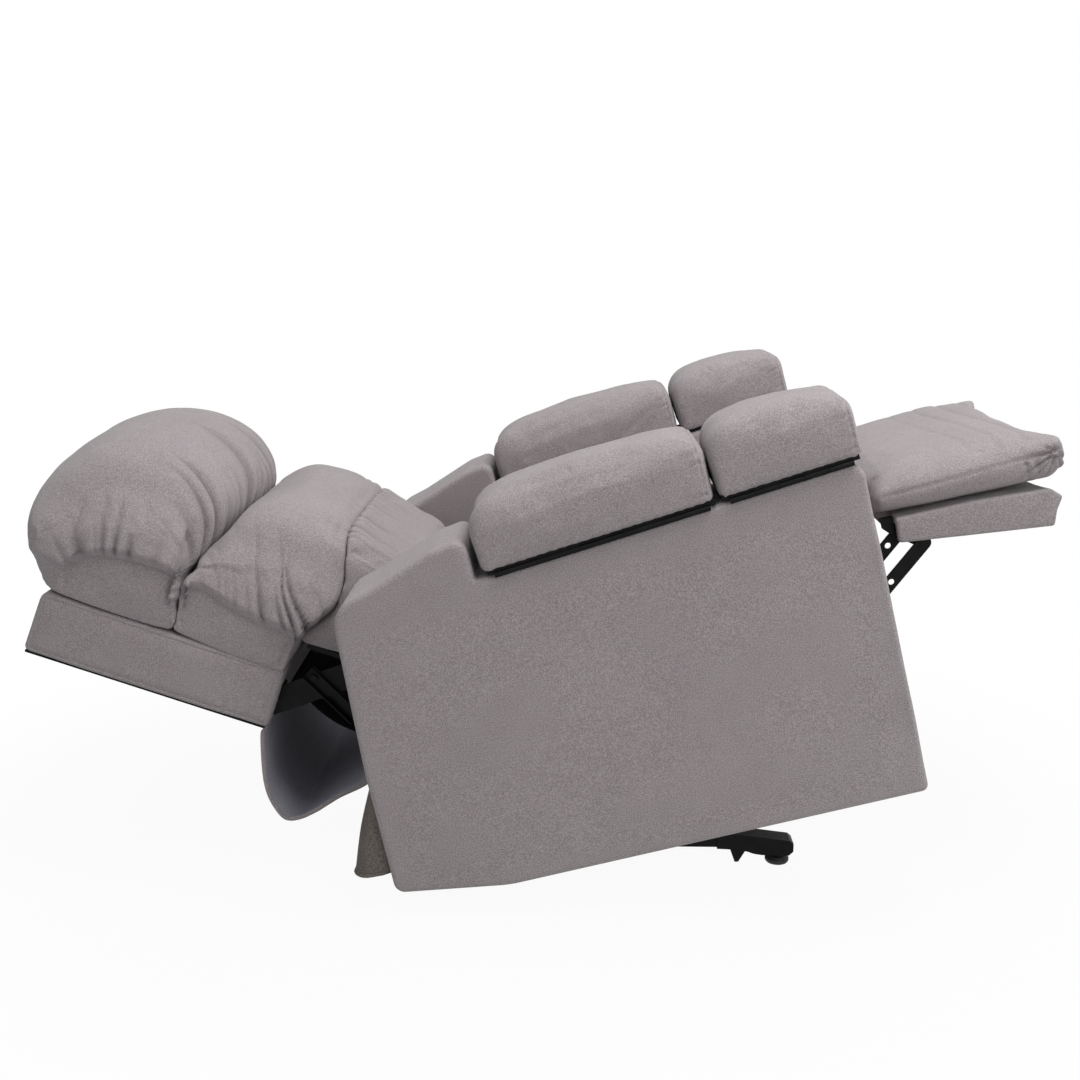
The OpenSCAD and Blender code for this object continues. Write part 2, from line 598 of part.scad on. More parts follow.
// Side outline of an arm pad from u0 to u1 with its three heights, drawn in by k
function pad_side(u0, u1, tops, k) = rounded([[u0 + k, pad_z, 0], [u1 - k, pad_z, 0],
    [u1 + 8 - k, tops[2] - 3 * k, 28], [(u0 + u1) / 2, tops[1] - 3 * k, 150],
    [u0 + k, tops[0] - 3 * k, 38]]);
module lid_pad(u0, u1, tops) on_rail() padded(pad_side(u0, u1, tops, 4),
    pad_side(u0, u1, tops, 0), arm_in + 2, arm_out - 0.5, 4);
module rear_pad() lid_pad(-6, rear_pad_l - 5, [pad_h - 10, pad_h + 3, pad_h - 12]);
module front_pad() lid_pad(rear_pad_l + 5.5, rear_pad_l + 6 + front_pad_l + 3,
    [pad_h - 8, pad_h - 1, pad_h - 23]);
module hinge_leaves_right() color(steel) on_side(-1) fixed_leaves();
module hinge_leaves_left() color(steel) on_side(1) fixed_leaves();
module rear_lid_board_right() color(steel) on_side(-1) lid_board(lids[0]);
module rear_lid_board_left() color(steel) on_side(1) lid_board(lids[0]);
module front_lid_board_right() color(steel) on_side(-1) lid_board(lids[1]);
module front_lid_board_left() color(steel) on_side(1) lid_board(lids[1]);
module rear_pad_right() color(cloth) on_side(-1) rear_pad();
module rear_pad_left() color(cloth) on_side(1) rear_pad();
module front_pad_right() color(cloth) on_side(-1) front_pad();
module front_pad_left() color(cloth) on_side(1) front_pad();

/* ---- back ---- */
flange_n0 = 12;
flange_n1 = 66;
lumbar_face = 146.3;
module back_frame() color(steel) {
    both_sides() {
        on_back() plate(layer(1), link_t) difference() {
            union() {
                disc2([0, 0], 24);
                polygon([[-20, -16], [18, 12], lean(-2, flange_n1), lean(-2, flange_n0)]);
            }
            disc2([0, 0], 9 + bore_gap);
        }
        on_lean() translate([-5, layer(1) - 24, flange_n0])
            cube([5, 24 + link_t, flange_n1 - flange_n0]);
    }
    on_lean() translate([-150, -layer(1) - 1, lumbar_face - 8.3])
        cube([130, 2 * layer(1) + 2, 8]);
    on_back() {
        pin([-62, 22], -layer(1) - 1, layer(1) + 1, 11);
        plate(recline_act_y - lever_t / 2, lever_t) bar2([-62, 22], recline_end_upright, 26);
    }
}
module back_box() color(cloth) on_lean() plate(-back_w / 2, back_w)
    polygon(box_outline);
back_face = back_t + 3.3;
// Leaning seam lines between pillow, middle cushion and lumbar cushion, [t, t per n]
seams = [[222, -0.42], [-4, -0.34]];
function seam_at(i, n) = seams[i][0] + seams[i][1] * (n - back_face);
// Outline o kept on the upper or the lower side of seam i
function above(i, o) = [for (p = o) [max(p[0], seam_at(i, p[1]) + 0.4), p[1]]];
function below(i, o) = [for (p = o) [min(p[0], seam_at(i, p[1]) - 0.4), p[1]]];
module head_pillow() color(cloth) on_lean() padded(
    above(0, seated([298, 150], [112, 60], back_face, [150, 90], [0.35, 0.6])),
    above(0, seated([304, back_face + pillow_out / 2], [181, pillow_out / 2], back_face,
        [230, 165], [0.35, 0.6])), -pillow_w / 2, pillow_w / 2);
module middle_cushion() color(cloth) on_lean() padded(
    below(0, above(1, seated([84, 165], [106, 70], back_face, [110, 170], [0.35, 0.35]))),
    below(0, above(1, seated([45, 234], [128, 144], back_face, [80, 220], [0.35, 0.35]))),
    -cushion_w / 2, cushion_w / 2);
module lumbar_cushion() color(cloth) on_lean() padded(
    below(1, seated([-106, 235], [72, 80], lumbar_face, [55, 100], [0.6, 0.35])),
    below(1, seated([-106, 254], [78, 108], lumbar_face, [60, 110], [0.6, 0.35])),
    -layer(1) + 6, layer(1) - 6, 4);
flap_t = 4;
flap_w = 520;
flap_line = [[-495.5, 247], [-502, 232], [-500, 154], [-485.5, 110.5], [-459.5, 82.5],
    [-431, 88], [-388, 117], [-338, 149], [-318, 168]];
module rear_flap() color(cloth) on_base() plate(-flap_w / 2, flap_w)
    polygon(sheet_outline(spline(flap_line, 3), flap_t));
recline_end = reclined(recline_end_upright);
recline_tube_l = 285;
module recline_motor() color("dimgray") on_chassis()
    on_line(recline_body, recline_end, recline_act_y) motor_half(recline_tube_l, -1);
module recline_rod() color("silver") on_chassis()
    on_line(recline_body, recline_end, recline_act_y) rod_half(150, norm(recline_end - recline_body));

/* ---- footrest ---- */
module link_plate(n, p, q, holes) plate(layer(n), link_t) difference() {
    bar2(p, q, link_w);
    for (h = holes) disc2(h, rivet_r + bore_gap);
}
module inner_links() color(steel) on_chassis() {
    difference() {
        union() {
            both_sides() {
                link_plate(2, drive_pivot, knee_pivot, []);
                rivet(cross_pivot, layer(2) + 1, layer(3) - 0.5, rivet_r, 0.5);
                rivet(knee_pivot, layer(2) + link_t - 1, layer(1) + link_t + 0.5, rivet_r, 0.5);
            }
            pin(drive_pivot, -layer(2) - 1, layer(2) + 1, 12);
        }
        both_sides() pin(drive_pivot, layer(2) - 6, layer(2) + link_t + 1, rivet_r + bore_gap);
    }
    plate(foot_act_y - lever_t / 2, lever_t) bar2(drive_pivot, drive_pivot + crank_vec, 18);
}
module outer_links() color(steel) on_chassis() both_sides() {
    link_plate(3, tail_pivot, foot_rear_pivot,
        [cross_pivot, foot_rear_pivot, cross_pivot + 0.87 * outer_vec]);
    rivet(tail_pivot, layer(3) + 1, layer(4) - 0.5, rivet_r);
}
module guide_links() color(steel) on_chassis() both_sides()
    link_plate(4, guide_pivot, tail_pivot, [guide_pivot, tail_pivot]);
module support_links() color(steel) on_chassis() both_sides()
    link_plate(1, knee_pivot, foot_front_pivot,
        [knee_pivot, foot_front_pivot, knee_pivot + 0.594 * outer_vec]);
foot_crank = drive_pivot + crank_vec;
foot_tube_l = 208;
module footrest_motor() color("dimgray") on_chassis() on_line(foot_body, foot_crank, foot_act_y)
    motor_half(foot_tube_l, 1);
module footrest_rod() color("silver") on_chassis() on_line(foot_body, foot_crank, foot_act_y)
    rod_half(140, norm(foot_crank - foot_body));
board_x0 = foot_rear_pivot[0] - 4;
board_l = 262;
pocket_l = 70;
// Side bracket: ear between the links, web up into the board's pocket, tab under the pad
module ottoman_brackets() color(steel) on_chassis() both_sides() {
    plate(layer(2), link_t) {
        disc2(foot_rear_pivot, 11);
        disc2(foot_front_pivot, 11);
        polygon([foot_rear_pivot + [-11, 0], foot_front_pivot + [-3, -10], foot_front_pivot + [11, 0],
            [foot_front_pivot[0] + 29, board_top - 10], [board_x0 - 2, board_top - 10],
            [board_x0 - 2, board_top - 5], [pad_x0 + 8, board_top - 5], [pad_x0 + 8, board_top - 14]]);
    }
    translate([pad_x0 + 8, layer(2) - 12, board_top - 6]) cube([20, 12 + link_t, 5.7]);
    rivet(foot_rear_pivot, layer(2) + 1, layer(3) - 0.5, rivet_r, 0.5);
    rivet(foot_front_pivot, layer(2) + link_t - 1, layer(1) + link_t + 0.5, rivet_r, 0.5);
}
module footrest_board() color(cloth) on_chassis() difference() {
    plate(-foot_board_w / 2, foot_board_w) polygon(rounded([
        [board_x0, board_top - 36, 4], [board_x0 + board_l - 14, board_top - foot_board_t - 3, 6],
        [board_x0 + board_l, board_top - 34, 12], [board_x0 + board_l - 24, board_top, 8],
        [board_x0, board_top, 4]]));
    // pockets for the brackets and link ends under the side edges
    both_sides() translate([board_x0 - 1, layer(4) - 2, board_top - 80])
        cube([pocket_l, layer(0) - layer(4) + 3, 80 - 10]);
}
module foot_pad() color(cloth) on_chassis() padded(
    pad_outline(pad_x0 + 3, pad_x0 + foot_pad_l - 4, board_top + seat_gap,
        board_top + foot_pad_t, 22, 26, 3), foot_outline, -foot_pad_w / 2, foot_pad_w / 2, 5, 6);

/* ---- drawing ---- */
base_frame();
front_foot_brackets();
levelling_feet();
lift_arms();
front_lift_links();
lift_frame();
lift_motor();
lift_rod();
tilt_motor();
tilt_rod();
chassis_plates();
cross_members();
tilt_lever();
actuator_seats();
seat_box();
seat_springs();
seat_cushion();
control_box();
rear_rail();
rear_skirt();
arm_right();
arm_left();
tray_right();
tray_left();
cup_holder_right();
cup_holder_left();
hinge_leaves_right();
hinge_leaves_left();
rear_lid_board_right();
rear_lid_board_left();
front_lid_board_right();
front_lid_board_left();
rear_pad_right();
rear_pad_left();
front_pad_right();
front_pad_left();
back_frame();
back_box();
head_pillow();
middle_cushion();
lumbar_cushion();
rear_flap();
recline_motor();
recline_rod();
inner_links();
outer_links();
guide_links();
support_links();
footrest_motor();
footrest_rod();
ottoman_brackets();
footrest_board();
foot_pad();
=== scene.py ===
# %% [markdown]
# # A lift recliner, fully open
# The mechanism of this chair comes in as a finished frame: base, lift arms, chassis, back frame
# and footrest links, each on the body that carries it. This notebook upholsters it. Each soft
# piece is drawn in the place of the part that carries it and puffed up or pleated there. All but
# the rear flap, its hems and the inner cloth are then told which body they ride on, so that they
# go along when the chair moves.

import math

import bmesh
import bpy
import numpy as np
from mathutils import Matrix, Vector, noise


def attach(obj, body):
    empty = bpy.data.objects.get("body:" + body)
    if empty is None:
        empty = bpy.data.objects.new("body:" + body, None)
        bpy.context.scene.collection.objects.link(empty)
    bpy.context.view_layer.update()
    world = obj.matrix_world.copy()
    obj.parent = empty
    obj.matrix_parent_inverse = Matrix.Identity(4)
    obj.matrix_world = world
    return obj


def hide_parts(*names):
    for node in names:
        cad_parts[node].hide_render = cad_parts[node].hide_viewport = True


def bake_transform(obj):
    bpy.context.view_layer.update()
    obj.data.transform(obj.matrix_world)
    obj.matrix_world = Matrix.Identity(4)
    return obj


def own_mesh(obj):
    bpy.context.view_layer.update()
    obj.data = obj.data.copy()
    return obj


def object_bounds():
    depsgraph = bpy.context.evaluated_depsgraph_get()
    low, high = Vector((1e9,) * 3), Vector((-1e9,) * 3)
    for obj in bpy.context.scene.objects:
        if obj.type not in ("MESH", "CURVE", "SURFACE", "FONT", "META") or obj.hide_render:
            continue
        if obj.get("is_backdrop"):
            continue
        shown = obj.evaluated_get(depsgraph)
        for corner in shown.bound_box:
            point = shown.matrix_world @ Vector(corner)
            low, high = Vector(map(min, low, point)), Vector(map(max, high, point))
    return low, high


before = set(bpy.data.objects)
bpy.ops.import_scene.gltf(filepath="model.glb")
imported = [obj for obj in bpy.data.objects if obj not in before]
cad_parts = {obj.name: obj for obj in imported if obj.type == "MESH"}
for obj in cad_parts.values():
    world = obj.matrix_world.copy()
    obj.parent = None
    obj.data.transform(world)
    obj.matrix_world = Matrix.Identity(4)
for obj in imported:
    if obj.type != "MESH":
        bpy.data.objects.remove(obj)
cad_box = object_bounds()
scene = bpy.context.scene

# %% [markdown]
# ## Places
# An upholsterer works on the part in hand and not on the whole chair. So each part gets a
# place: a matrix from its own flat coordinates to the stored pose. The chassis is tilted back
# 14 degrees, the back is reclined 45 degrees more, and the arm rails slope a little.

# %% Matrices of the working places, in metres
SHIFT = 0.0503733
TILT, RECLINE, LEAN = math.radians(14), math.radians(45), math.radians(12.5)
RAIL_SLOPE = math.atan2(0.041, 0.569)
TILT_PIVOT, BACK_PIVOT = Vector((-0.2, 0, 0.12)), Vector((-0.185, 0, 0.378))


def turned(angle):
    return Matrix.Rotation(-angle, 4, "Y")


base = Matrix.Translation((SHIFT, 0, 0))
chassis = base @ Matrix.Translation(TILT_PIVOT) @ turned(TILT) @ Matrix.Translation(-TILT_PIVOT)
back = chassis @ Matrix.Translation(BACK_PIVOT) @ turned(RECLINE)
rail = chassis @ Matrix.Translation((-0.021, 0, 0.512)) @ turned(RAIL_SLOPE)
# Along the back's height, across, and away from its rear face
cushions = back @ Matrix.Translation((-0.231, 0, 0.146)) @ Matrix((
    (-math.sin(LEAN), 0, math.cos(LEAN), 0), (0, 1, 0, 0),
    (math.cos(LEAN), 0, math.sin(LEAN), 0), (0, 0, 0, 1)))
print("the back's foot is at", (cushions @ Vector((0, 0, 0)))[:])

# %% [markdown]
# ## Camera
# The chair is seen from the sitter's right, from a little above, so that the tops of the arm
# pads show.

# %% Camera
camera = bpy.data.objects.new("camera", bpy.data.cameras.new("camera"))
scene.collection.objects.link(camera)
camera.data.lens, camera.data.sensor_width = 46.63, 36
camera.location = (0.0504, -2.427, 1.04)
camera.rotation_euler = (math.radians(90 - 12.42), 0, math.radians(1.24))
scene.camera = camera
scene.view_settings.view_transform = "Standard"

# %% [markdown]
# ## Shader maths
# A finish is a small sum: a colour, plus a mottle, plus a weave. Wiring such sums by hand hides
# them in a plate of noodles, so one class wraps a socket and lets Python's operators add the
# Math nodes.


# %% A socket that can be added, subtracted and multiplied
class Wire:
    def __init__(self, tree, socket):
        self.tree, self.socket = tree, socket

    def maths(self, operation, *values, clamp=False):
        return node(self.tree, "ShaderNodeMath", {"operation": operation, "use_clamp": clamp},
                    dict(enumerate(values)))

    def __add__(self, other):
        return self.maths("ADD", self, other)

    def __sub__(self, other):
        return self.maths("SUBTRACT", self, other)

    def __mul__(self, other):
        return self.maths("MULTIPLY", self, other)

    def clamped(self):
        return self.maths("ADD", self, 0.0, clamp=True)

    def between(self, low, high):
        return node(self.tree, "ShaderNodeMapRange", {"interpolation_type": "SMOOTHSTEP"},
                    {"Value": self, "From Min": low, "From Max": high})


def node(tree, kind, settings=None, inputs=None, output=0):
    made = tree.nodes.new(kind)
    for name, value in (settings or {}).items():
        if name == "stops":
            ramp = made.color_ramp
            while len(ramp.elements) < len(value):
                ramp.elements.new(0.5)
            for stop, (place, colour) in zip(ramp.elements, value):
                stop.position, stop.color = place, (*colour, 1)
        else:
            setattr(made, name, value)
    for name, value in (inputs or {}).items():
        if isinstance(value, Wire):
            tree.links.new(value.socket, made.inputs[name])
        elif isinstance(value, tuple) and len(value) == 3 and made.inputs[name].type == "RGBA":
            made.inputs[name].default_value = (*value, 1)
        else:
            made.inputs[name].default_value = value
    return Wire(tree, made.outputs[output])


def linear(*srgb):
    return tuple((c / 255 / 12.92 if c < 11 else ((c / 255 + 0.055) / 1.055) ** 2.4) for c in srgb)


def mix(tree, factor, a, b):
    return node(tree, "ShaderNodeMix", {"data_type": "RGBA"}, {0: factor, 6: a, 7: b}, 2)


def finish(name, base_colour, roughness, bump=None, height=0.0, **constants):
    """A material from what its functions of (tree, place) say."""
    material = bpy.data.materials.new(name)
    material.use_nodes = True
    tree = material.node_tree
    shader = tree.nodes["Principled BSDF"]
    place = node(tree, "ShaderNodeTexCoord", output=3)
    for socket, value in (("Base Color", base_colour), ("Roughness", roughness)):
        value = value(tree, place) if callable(value) else value
        if isinstance(value, Wire):
            tree.links.new(value.socket, shader.inputs[socket])
        else:
            shader.inputs[socket].default_value = (*value, 1) if isinstance(value, tuple) else value
    if bump:
        relief = node(tree, "ShaderNodeBump", None,
                      {"Strength": 1.0, "Distance": height, "Height": bump(tree, place)})
        tree.links.new(relief.socket, shader.inputs["Normal"])
    for socket, value in constants.items():
        shader.inputs[socket.replace("_", " ")].default_value = value
    return material


def cloud(tree, place, scale, detail=2.0, rough=0.5):
    return node(tree, "ShaderNodeTexNoise", None,
                {"Vector": place, "Scale": scale, "Detail": detail, "Roughness": rough})


def cells(tree, place, scale):
    return node(tree, "ShaderNodeTexVoronoi", None, {"Vector": place, "Scale": scale})


# %% [markdown]
# ## Finishes
# The cover is a brushed, heathered cloth: yarns of three close greys, slightly warm, so that it
# looks mottled at a millimetre or two and even from across the room. It is dull, with a little
# sheen of loose fibres. Steel parts have a black powder coat, rods are bright, and the hidden
# frames are plain plywood.


# %% Cloth
def heather(dark, mean, light):
    def colour(tree, place):
        yarn = cloud(tree, place, 500, 3, 0.75)
        fibre = cloud(tree, place, 1400, 2)
        broad = cloud(tree, place, 8, 4, 0.6)
        brushed = cloud(tree, place, 34, 3, 0.6)
        mottle = (yarn.between(0.34, 0.66) * 0.7 + fibre * 0.2 + broad * 0.2
                  + brushed * 0.16) - 0.13
        tone = node(tree, "ShaderNodeValToRGB",
                    {"stops": ((0.12, dark), (0.5, mean), (0.9, light))}, {0: mottle})
        # Painted shade: the colour is made darker where the folds and seams are deep, read from
        # their depth kept on the mesh.
        fold = node(tree, "ShaderNodeAttribute", {"attribute_name": "fold"}, output=2)
        return mix(tree, fold.clamped() * 0.62, tone, tuple(c * 0.45 for c in dark))
    return colour


def woven(tree, place):
    return cells(tree, place, 620) * 0.5 + cloud(tree, place, 900, 3, 0.6) * 0.9


cover = finish("cover_cloth", heather(linear(128, 120, 122), linear(149, 141, 143),
               linear(170, 162, 162)), 0.93, woven, 0.0009, Sheen_Weight=0.2, Sheen_Roughness=0.6,
               Specular_IOR_Level=0.2)
lining = finish("lining_cloth", heather(linear(152, 152, 164), linear(170, 170, 182),
                linear(184, 184, 194)), 0.85, woven, 0.0004, Specular_IOR_Level=0.2)
# Painted shade: the skirt's outside is the cover's taupe made darker, for the shade the skirt lies
# in.
shaded_skirt_cloth = finish("shaded_skirt_cloth", heather(linear(84, 77, 73), linear(108, 101, 96),
                     linear(126, 119, 114)), 0.93, woven, 0.0006, Specular_IOR_Level=0.15)
# Black cloth: a dust cloth over the back box's rear face, and painted shade on the inner sheet.
dust_and_shade_cloth = finish("dust_and_shade_cloth", heather(linear(10, 10, 11), linear(17, 17, 18),
                    linear(26, 26, 27)), 0.9, woven, 0.0005, Specular_IOR_Level=0.15)


# %% Metal, plastic and wood
def coat_tone(tree, place):
    worn = cloud(tree, place, 40, 3).between(0.35, 0.8)
    return mix(tree, worn, linear(11, 11, 12), linear(20, 20, 21))


def orange_peel(tree, place):
    return cloud(tree, place, 420, 2)


black_steel = finish("black_steel", coat_tone, lambda t, p: cloud(t, p, 60) * 0.2 + 0.34,
                     orange_peel, 0.0003, Specular_IOR_Level=0.11)
black_board = finish("black_board", coat_tone, lambda t, p: cloud(t, p, 90) * 0.2 + 0.5,
                     orange_peel, 0.0005, Specular_IOR_Level=0.11)
motor_case = finish("motor_case", lambda t, p: mix(t, cloud(t, p, 30), linear(40, 41, 43),
                    linear(54, 55, 58)), lambda t, p: cloud(t, p, 300) * 0.25 + 0.4,
                    orange_peel, 0.0004)
bright_rod = finish("bright_rod", lambda t, p: mix(t, cloud(t, p, 80), linear(168, 170, 174),
                    linear(196, 198, 202)), lambda t, p: cloud(t, p, 240) * 0.15 + 0.2,
                    Metallic=1.0)
spring_wire = finish("spring_wire", lambda t, p: mix(t, cloud(t, p, 60), linear(88, 90, 94),
                     linear(120, 122, 128)), lambda t, p: cloud(t, p, 200) * 0.2 + 0.3,
                     Metallic=0.9)


def grain(tree, place):
    along = node(tree, "ShaderNodeMapping", None, {"Vector": place, "Scale": (4, 60, 60)})
    return cloud(tree, along, 6, 4, 0.6)


plywood = finish("plywood", lambda t, p: mix(t, grain(t, p).between(0.3, 0.7),
                 linear(196, 160, 116), linear(222, 192, 150)), 0.6, grain, 0.0004)
moulded = finish("moulded_plastic", lambda t, p: mix(t, cloud(t, p, 50), linear(30, 30, 32),
                 linear(40, 40, 42)), lambda t, p: cloud(t, p, 400) * 0.2 + 0.4,
                 orange_peel, 0.0003)
rubber = finish("foot_rubber", lambda t, p: mix(t, cloud(t, p, 70), linear(18, 18, 18),
                linear(30, 30, 30)), lambda t, p: cloud(t, p, 300) * 0.2 + 0.6,
                orange_peel, 0.0004)
print("finishes:", len(bpy.data.materials))

# %% [markdown]
# ## Finishes of the frame's own parts
# The steel parts already have their true shape, so they keep it and get a finish. Each list
# names the parts of one finish.

# %% Give every hard part its finish
HARD = {
    black_steel: ["base_frame", "front_foot_brackets", "lift_arms", "front_lift_links",
                  "lift_frame", "chassis_plates", "cross_members", "tilt_lever",
                  "actuator_seats", "back_frame", "inner_links", "outer_links",
                  "guide_links", "support_links", "ottoman_brackets"],
    black_board: ["rear_lid_board_right", "rear_lid_board_left", "front_lid_board_right",
                  "front_lid_board_left"],
    motor_case: ["lift_motor", "tilt_motor", "recline_motor", "footrest_motor", "control_box"],
    bright_rod: ["lift_rod", "tilt_rod", "recline_rod", "footrest_rod"],
    spring_wire: ["seat_springs"],
    plywood: ["seat_box", "rear_rail"],
    moulded: ["tray_right", "tray_left", "cup_holder_right", "cup_holder_left"],
    rubber: ["levelling_feet"],
}
for material, names in HARD.items():
    for name in names:
        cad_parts[name].data.materials.clear()
        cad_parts[name].data.materials.append(material)
print("hard parts with a finish:", sum(map(len, HARD.values())))

# %% [markdown]
# ## Studio
# The studio is plain: a pale floor, a large soft lamp overhead and a weaker one beside the
# camera. The floor and the world look white to the camera, and light the chair less than that.


# %% What the eye sees, apart from what lights the chair
def seen_directly(tree):
    """1 for rays of the camera, of mirrors and through glass, and 0 for all other light."""
    path = tree.nodes.new("ShaderNodeLightPath")
    eye, mirrored_ray, through = (Wire(tree, path.outputs["Is " + kind + " Ray"])
                                  for kind in ("Camera", "Glossy", "Transmission"))
    return (eye + mirrored_ray + through).clamped()


# %% Floor, world and lamps
FLOOR_RADIUS = 14
WORLD_LIGHT = 0.47          # what the world gives as a lamp; to the eye it is 1
white = bpy.data.materials.new("studio_floor")
white.use_nodes = True
tree = white.node_tree
tree.nodes.clear()
near = node(tree, "ShaderNodeVectorMath", {"operation": "LENGTH"},
            {0: node(tree, "ShaderNodeTexCoord", output=3)}, 1)
flat = node(tree, "ShaderNodeBsdfDiffuse", None, {"Color": (0.6, 0.6, 0.6)})
glow = node(tree, "ShaderNodeEmission", None, {"Color": (1.0, 1.0, 1.0), "Strength": 1.0})
share = seen_directly(tree) * (near.between(0.7, 1.5) * 0.055 + 0.945)
surface = node(tree, "ShaderNodeMixShader", None, {0: share, 1: flat, 2: glow})
tree.links.new(surface.socket, tree.nodes.new("ShaderNodeOutputMaterial").inputs["Surface"])

bm = bmesh.new()
bmesh.ops.create_circle(bm, cap_ends=True, segments=96, radius=FLOOR_RADIUS)
floor = bpy.data.objects.new("floor", bpy.data.meshes.new("floor"))
bm.to_mesh(floor.data)
bm.free()
floor.data.materials.append(white)
scene.collection.objects.link(floor)
floor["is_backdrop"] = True

world = bpy.data.worlds.new("studio")
world.use_nodes = True
scene.world = world
tree = world.node_tree
tree.nodes["Background"].inputs["Color"].default_value = (1, 1, 1, 1)
strength = seen_directly(tree) * (1 - WORLD_LIGHT) + WORLD_LIGHT
tree.links.new(strength.socket, tree.nodes["Background"].inputs["Strength"])


def lamp(name, place, aim, size, power):
    light = bpy.data.objects.new(name, bpy.data.lights.new(name, "AREA"))
    light.data.shape, light.data.size, light.data.energy = "DISK", size, power
    light.location = place
    light.rotation_mode = "QUATERNION"
    light.rotation_quaternion = (Vector(aim) - Vector(place)).to_track_quat("-Z", "Y")
    scene.collection.objects.link(light)


lamp("overhead", (0.8, -0.6, 3.3), (0, 0, 0.4), 2.2, 79)
lamp("beside_camera", (2.1, -2.9, 1.8), (0, 0, 0.4), 1.8, 30)
print("lamps:", len(bpy.data.lights))

# %% [markdown]
# ## Drawing with an upholsterer's tools
# Most pieces start as a side outline with rounded corners, which is stretched across the chair.
# A board-like piece is one outline pulled straight and its edges softened. A cushion is a row
# of outlines that shrink towards the sides, so that it looks blown up and closes by itself.


# %% Outlines
def rounded(corners, steps=6):
    line = []
    for i, (x, z, r) in enumerate(corners):
        here = Vector((x, 0, z))
        before, after = ((Vector((c[0], 0, c[1])) - here).normalized()
                         for c in (corners[i - 1], corners[(i + 1) % len(corners)]))
        if r <= 0:
            line.append(here)
            continue
        half = before.angle(after) / 2
        middle = here + (before + after).normalized() * r / math.sin(half)
        first, last = ((here + way * r / math.tan(half) - middle).normalized()
                       for way in (before, after))
        line += [middle + first.slerp(last, k / steps) * r for k in range(steps + 1)]
    return [(p.x, p.z) for p in line]


def even(line, count, closed=True):
    """The same line with its points at equal steps."""
    points = np.array(list(line) + ([line[0]] if closed else []), float)
    run = np.concatenate([[0], np.cumsum(np.linalg.norm(np.diff(points, axis=0), axis=1))])
    stops = np.linspace(0, run[-1], count + 1 if closed else count)
    made = np.stack([np.interp(stops, run, points[:, k]) for k in range(points.shape[1])], 1)
    return made[:-1] if closed else made


def curve_through(points, steps=8, closed=False):
    """A smooth line through a few points (Catmull-Rom), of any dimension."""
    p = [np.array(q, float) for q in points]
    last, made = len(p) - (0 if closed else 1), []
    for i in range(last):
        at = [(i + k) % len(p) if closed else min(max(i + k, 0), len(p) - 1)
              for k in (-1, 0, 1, 2)]
        a, b, c, d = (p[k] for k in at)
        for k in range(steps + (not closed and i == last - 1)):
            t = k / steps
            made.append(0.5 * (2 * b + (c - a) * t + (2 * a - 5 * b + 4 * c - d) * t * t
                               + (3 * b - 3 * c + d - a) * t ** 3))
    return np.array(made)


def piece(name, bm, material, smooth=60):
    """A finished object from a bmesh whose points are already in the shared frame."""
    mesh = bpy.data.meshes.new(name)
    bmesh.ops.recalc_face_normals(bm, faces=bm.faces)
    bm.to_mesh(mesh)
    bm.free()
    mesh.materials.append(material)
    made = bpy.data.objects.new(name, mesh)
    scene.collection.objects.link(made)
    mesh.shade_smooth()
    if smooth < 180:
        mesh.set_sharp_from_angle(angle=math.radians(smooth))
    return made


def inward(line, distance):
    """The outline drawn in by a distance, all along."""
    p = np.array(line, float)
    ahead = np.roll(p, -1, 0) - p
    ahead /= np.linalg.norm(ahead, axis=1, keepdims=True)
    area = (p[:, 0] * np.roll(p[:, 1], -1) - np.roll(p[:, 0], -1) * p[:, 1]).sum()
    inside = np.stack([-ahead[:, 1], ahead[:, 0]], 1) * (1 if area > 0 else -1)
    both = inside + np.roll(inside, 1, 0)
    return p + distance * both / np.maximum((both ** 2).sum(1, keepdims=True) / 2, 0.5)


def slab(place, line, y0, y1, edge=0.0, steps=3, seam=0.0):
    """A side outline pulled from y0 to y1, its rims rounded by edge, with a seam beside them."""
    rim = [(edge + 2 * seam, 0), (edge + seam, seam * 0.7)] if seam else []
    rim += [(edge * (1 - math.sin(a)), edge * (1 - math.cos(a)))
            for a in (math.pi / 2 * k / steps for k in range(steps + 1))]
    rows = [(y0 + deep, inward(line, drawn)) for drawn, deep in rim]
    rows += [(y1 - deep, inward(line, drawn)) for drawn, deep in rim[::-1]]
    return loft(place, rows, caps=())


def slice_up(bm, place, step, axes="XZ"):
    """Cuts a slab's large faces into a grid, so that they can bulge."""
    flat = [place.inverted() @ v.co for v in bm.verts]
    for axis in axes:
        k = "XYZ".index(axis)
        low, high = min(v[k] for v in flat), max(v[k] for v in flat)
        normal = place.to_3x3().col[k].normalized()
        for i in range(1, int((high - low) / step)):
            at = Vector((0, 0, 0))
            at[k] = low + i * step
            bmesh.ops.bisect_plane(bm, geom=bm.verts[:] + bm.edges[:] + bm.faces[:],
                                   plane_co=place @ at, plane_no=normal, dist=1e-5)


def next_ring(bm, ring, points):
    """Pulls a ring of points on to the next outline."""
    edges = [bm.edges.get((ring[i - 1], ring[i])) for i in range(len(ring))]
    fresh = {g for g in bmesh.ops.extrude_edge_only(bm, edges=edges)["geom"]
             if isinstance(g, bmesh.types.BMVert)}
    out = [next(e.other_vert(v) for e in v.link_edges if e.other_vert(v) in fresh) for v in ring]
    for v, p in zip(out, points):
        v.co = p
    return out


def skin(bm, rows):
    """A closed skin through rows of points, each with the same count."""
    ring = sorted(bmesh.ops.create_circle(bm, segments=len(rows[0]), radius=1)["verts"],
                  key=lambda v: math.atan2(v.co.y, v.co.x))
    first = ring
    for v, p in zip(ring, rows[0]):
        v.co = p
    for points in rows[1:]:
        ring = next_ring(bm, ring, points)
    for end in (first, ring):
        bm.faces.new(end)


